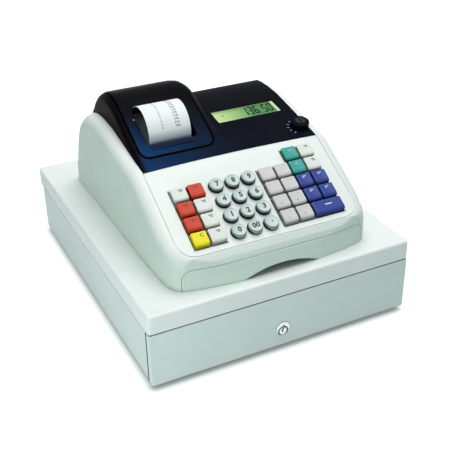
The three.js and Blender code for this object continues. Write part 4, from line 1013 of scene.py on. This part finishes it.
path = arc(roll_centre, roll_radius + strip_run, low_turn, low_turn, 1)[1:]
path += arc(roller_centre, roller_radius + strip_run, low_turn, -math.pi, roller_steps)
path += arc(curl_centre, curl_radius - strip_run, math.pi, curl_end, curl_steps)


def on_strip(across, index, lift):
    """A point on the paper, at a share of its width and a place along its path."""
    start, end = int(index), len(path) - 1
    along = (path[min(start + 2, end)] - path[max(start - 1, 0)]).normalized()
    y, z = path[start].lerp(path[min(start + 1, end)], index - start)
    return Vector((strip_middle + across * strip_half, y - lift * along.y, z + lift * along.x))


columns = 12
shares = [column / columns * 2 - 1 for column in range(columns + 1)]
rings = [[on_strip(share, index, strip_thick / 2) for share in shares]
         + [on_strip(share, index, -strip_thick / 2) for share in reversed(shares)]
         for index in range(len(path))]
points, faces = [p for ring in rings for p in ring], rings_to_faces(len(rings[0]), len(rings))

# Rows of plain figures printed along the strip, the newest ones near the slot
row_step, print_size, print_rows = 0.0040, 0.0034, 13
print_start, print_across = roller_steps + 10.5, (-0.30, 0.42)
index_length = curl_radius * (math.pi - curl_end) / curl_steps
prints = []
for row in range(print_rows):
    along = print_start + row * row_step / index_length
    texts = f"{(row * 7 + 3) % 9 + 1}", f"{(row * 5 + 2) % 9 + 1}.{(row * 3) % 10}0"
    for text, across in zip(texts, print_across):
        letters, letter_faces = lettered(text, print_size, (0, 0), lambda x, y: 0.0, letter_bold)
        prints.append(([on_strip(across + p.x / strip_half, along - p.y / index_length, strip_thick / 2 + p.z)
                        for p in letters], letter_faces))
marks = [0] * len(faces) + [1] * sum(len(letter_faces) for _, letter_faces in prints)
points, faces = gather([(points, faces)] + prints)
piece("receipt_strip", mesh_of("receipt_strip", points, faces, [strip_paper, faded_ink], marks), "register",
      ("receipt_paper",))


# Floor and light: a plain pale floor that runs far out, a pale room that is brighter above, a
# wide soft lamp overhead and a long low one at the front left.
def white_for(tree):
    """Which rays see the backdrop as white: the camera's, and those off gloss and through glass."""
    rays = put(tree, "ShaderNodeLightPath").outputs
    return sums(tree, "MAXIMUM", sums(tree, "MAXIMUM", rays["Is Camera Ray"], rays["Is Glossy Ray"]),
                rays["Is Transmission Ray"])


floor_reach, floor_glow, shadow_reach, shadow_deep = 30, 0.84, 0.011, 1.8
floor_paint = bpy.data.materials.new("Backdrop paint")
floor_paint.use_nodes = True
tree = floor_paint.node_tree
matt = feed(tree.nodes["Principled BSDF"], {
    "Base Color": (0.44, 0.52, 0.52, 1), "Roughness": 0.9, "Specular IOR Level": 0.0})
open_above = put(tree, "ShaderNodeAmbientOcclusion", {"Distance": shadow_reach}).outputs["AO"]
glow = put(tree, "ShaderNodeEmission", {"Color": (1, 1, 1, 1), "Strength": sums(
    tree, "MULTIPLY", sums(tree, "POWER", open_above, shadow_deep), floor_glow)})
lit = put(tree, "ShaderNodeMixShader", {0: white_for(tree), 2: glow})
feed(tree.nodes["Material Output"], {"Surface": put(tree, "ShaderNodeAddShader", {0: matt, 1: lit})})
floor = shown("floor", mesh_of("floor", [(x * floor_reach, y * floor_reach, 0) for x, y in corners],
                               [(0, 1, 2, 3)], [floor_paint]))

room_colour, room_upwards, room_low, room_high = (0.86, 1.0, 0.96, 1), (0.0, -0.1, 0.99), 0.05, 0.45
room = bpy.data.worlds.new("room")
room.use_nodes = True
tree = room.node_tree
toward = arrows(tree, "DOT_PRODUCT", put(tree, "ShaderNodeTexCoord").outputs["Generated"], room_upwards)
ambient = feed(tree.nodes["Background"], {
    "Color": room_colour, "Strength": fade(tree, toward, -1.0, 1.0, room_low, room_high)})
white = put(tree, "ShaderNodeBackground", {"Color": (1, 1, 1, 1), "Strength": 1.0})
seen = put(tree, "ShaderNodeMixShader", {0: white_for(tree), 1: ambient, 2: white})
feed(tree.nodes["World Output"], {"Surface": seen})
bpy.context.scene.world = room
bpy.context.scene.view_settings.view_transform = "Standard"


def lamp(name, place, aim, size, power, colour=(1, 1, 1)):
    """A wide soft lamp that looks at a point."""
    light = bpy.data.lights.new(name, "AREA")
    light.shape = "RECTANGLE"
    light.size, light.size_y = size
    light.energy = power
    light.color = colour
    shown(name, light, Matrix.Translation(place) @ (
        Vector(place) - Vector(aim)).to_track_quat("Z", "Y").to_matrix().to_4x4())


lamp("overhead", place=(0.15, -0.05, 1.7), aim=(0, 0, 0.1), size=(1.5, 1.3), power=22,
     colour=(1.0, 0.965, 0.985))
lamp("front_left", place=(-0.56, -0.56, 0.06), aim=(-0.1, -0.15, 0.06), size=(0.5, 0.1), power=1.5)
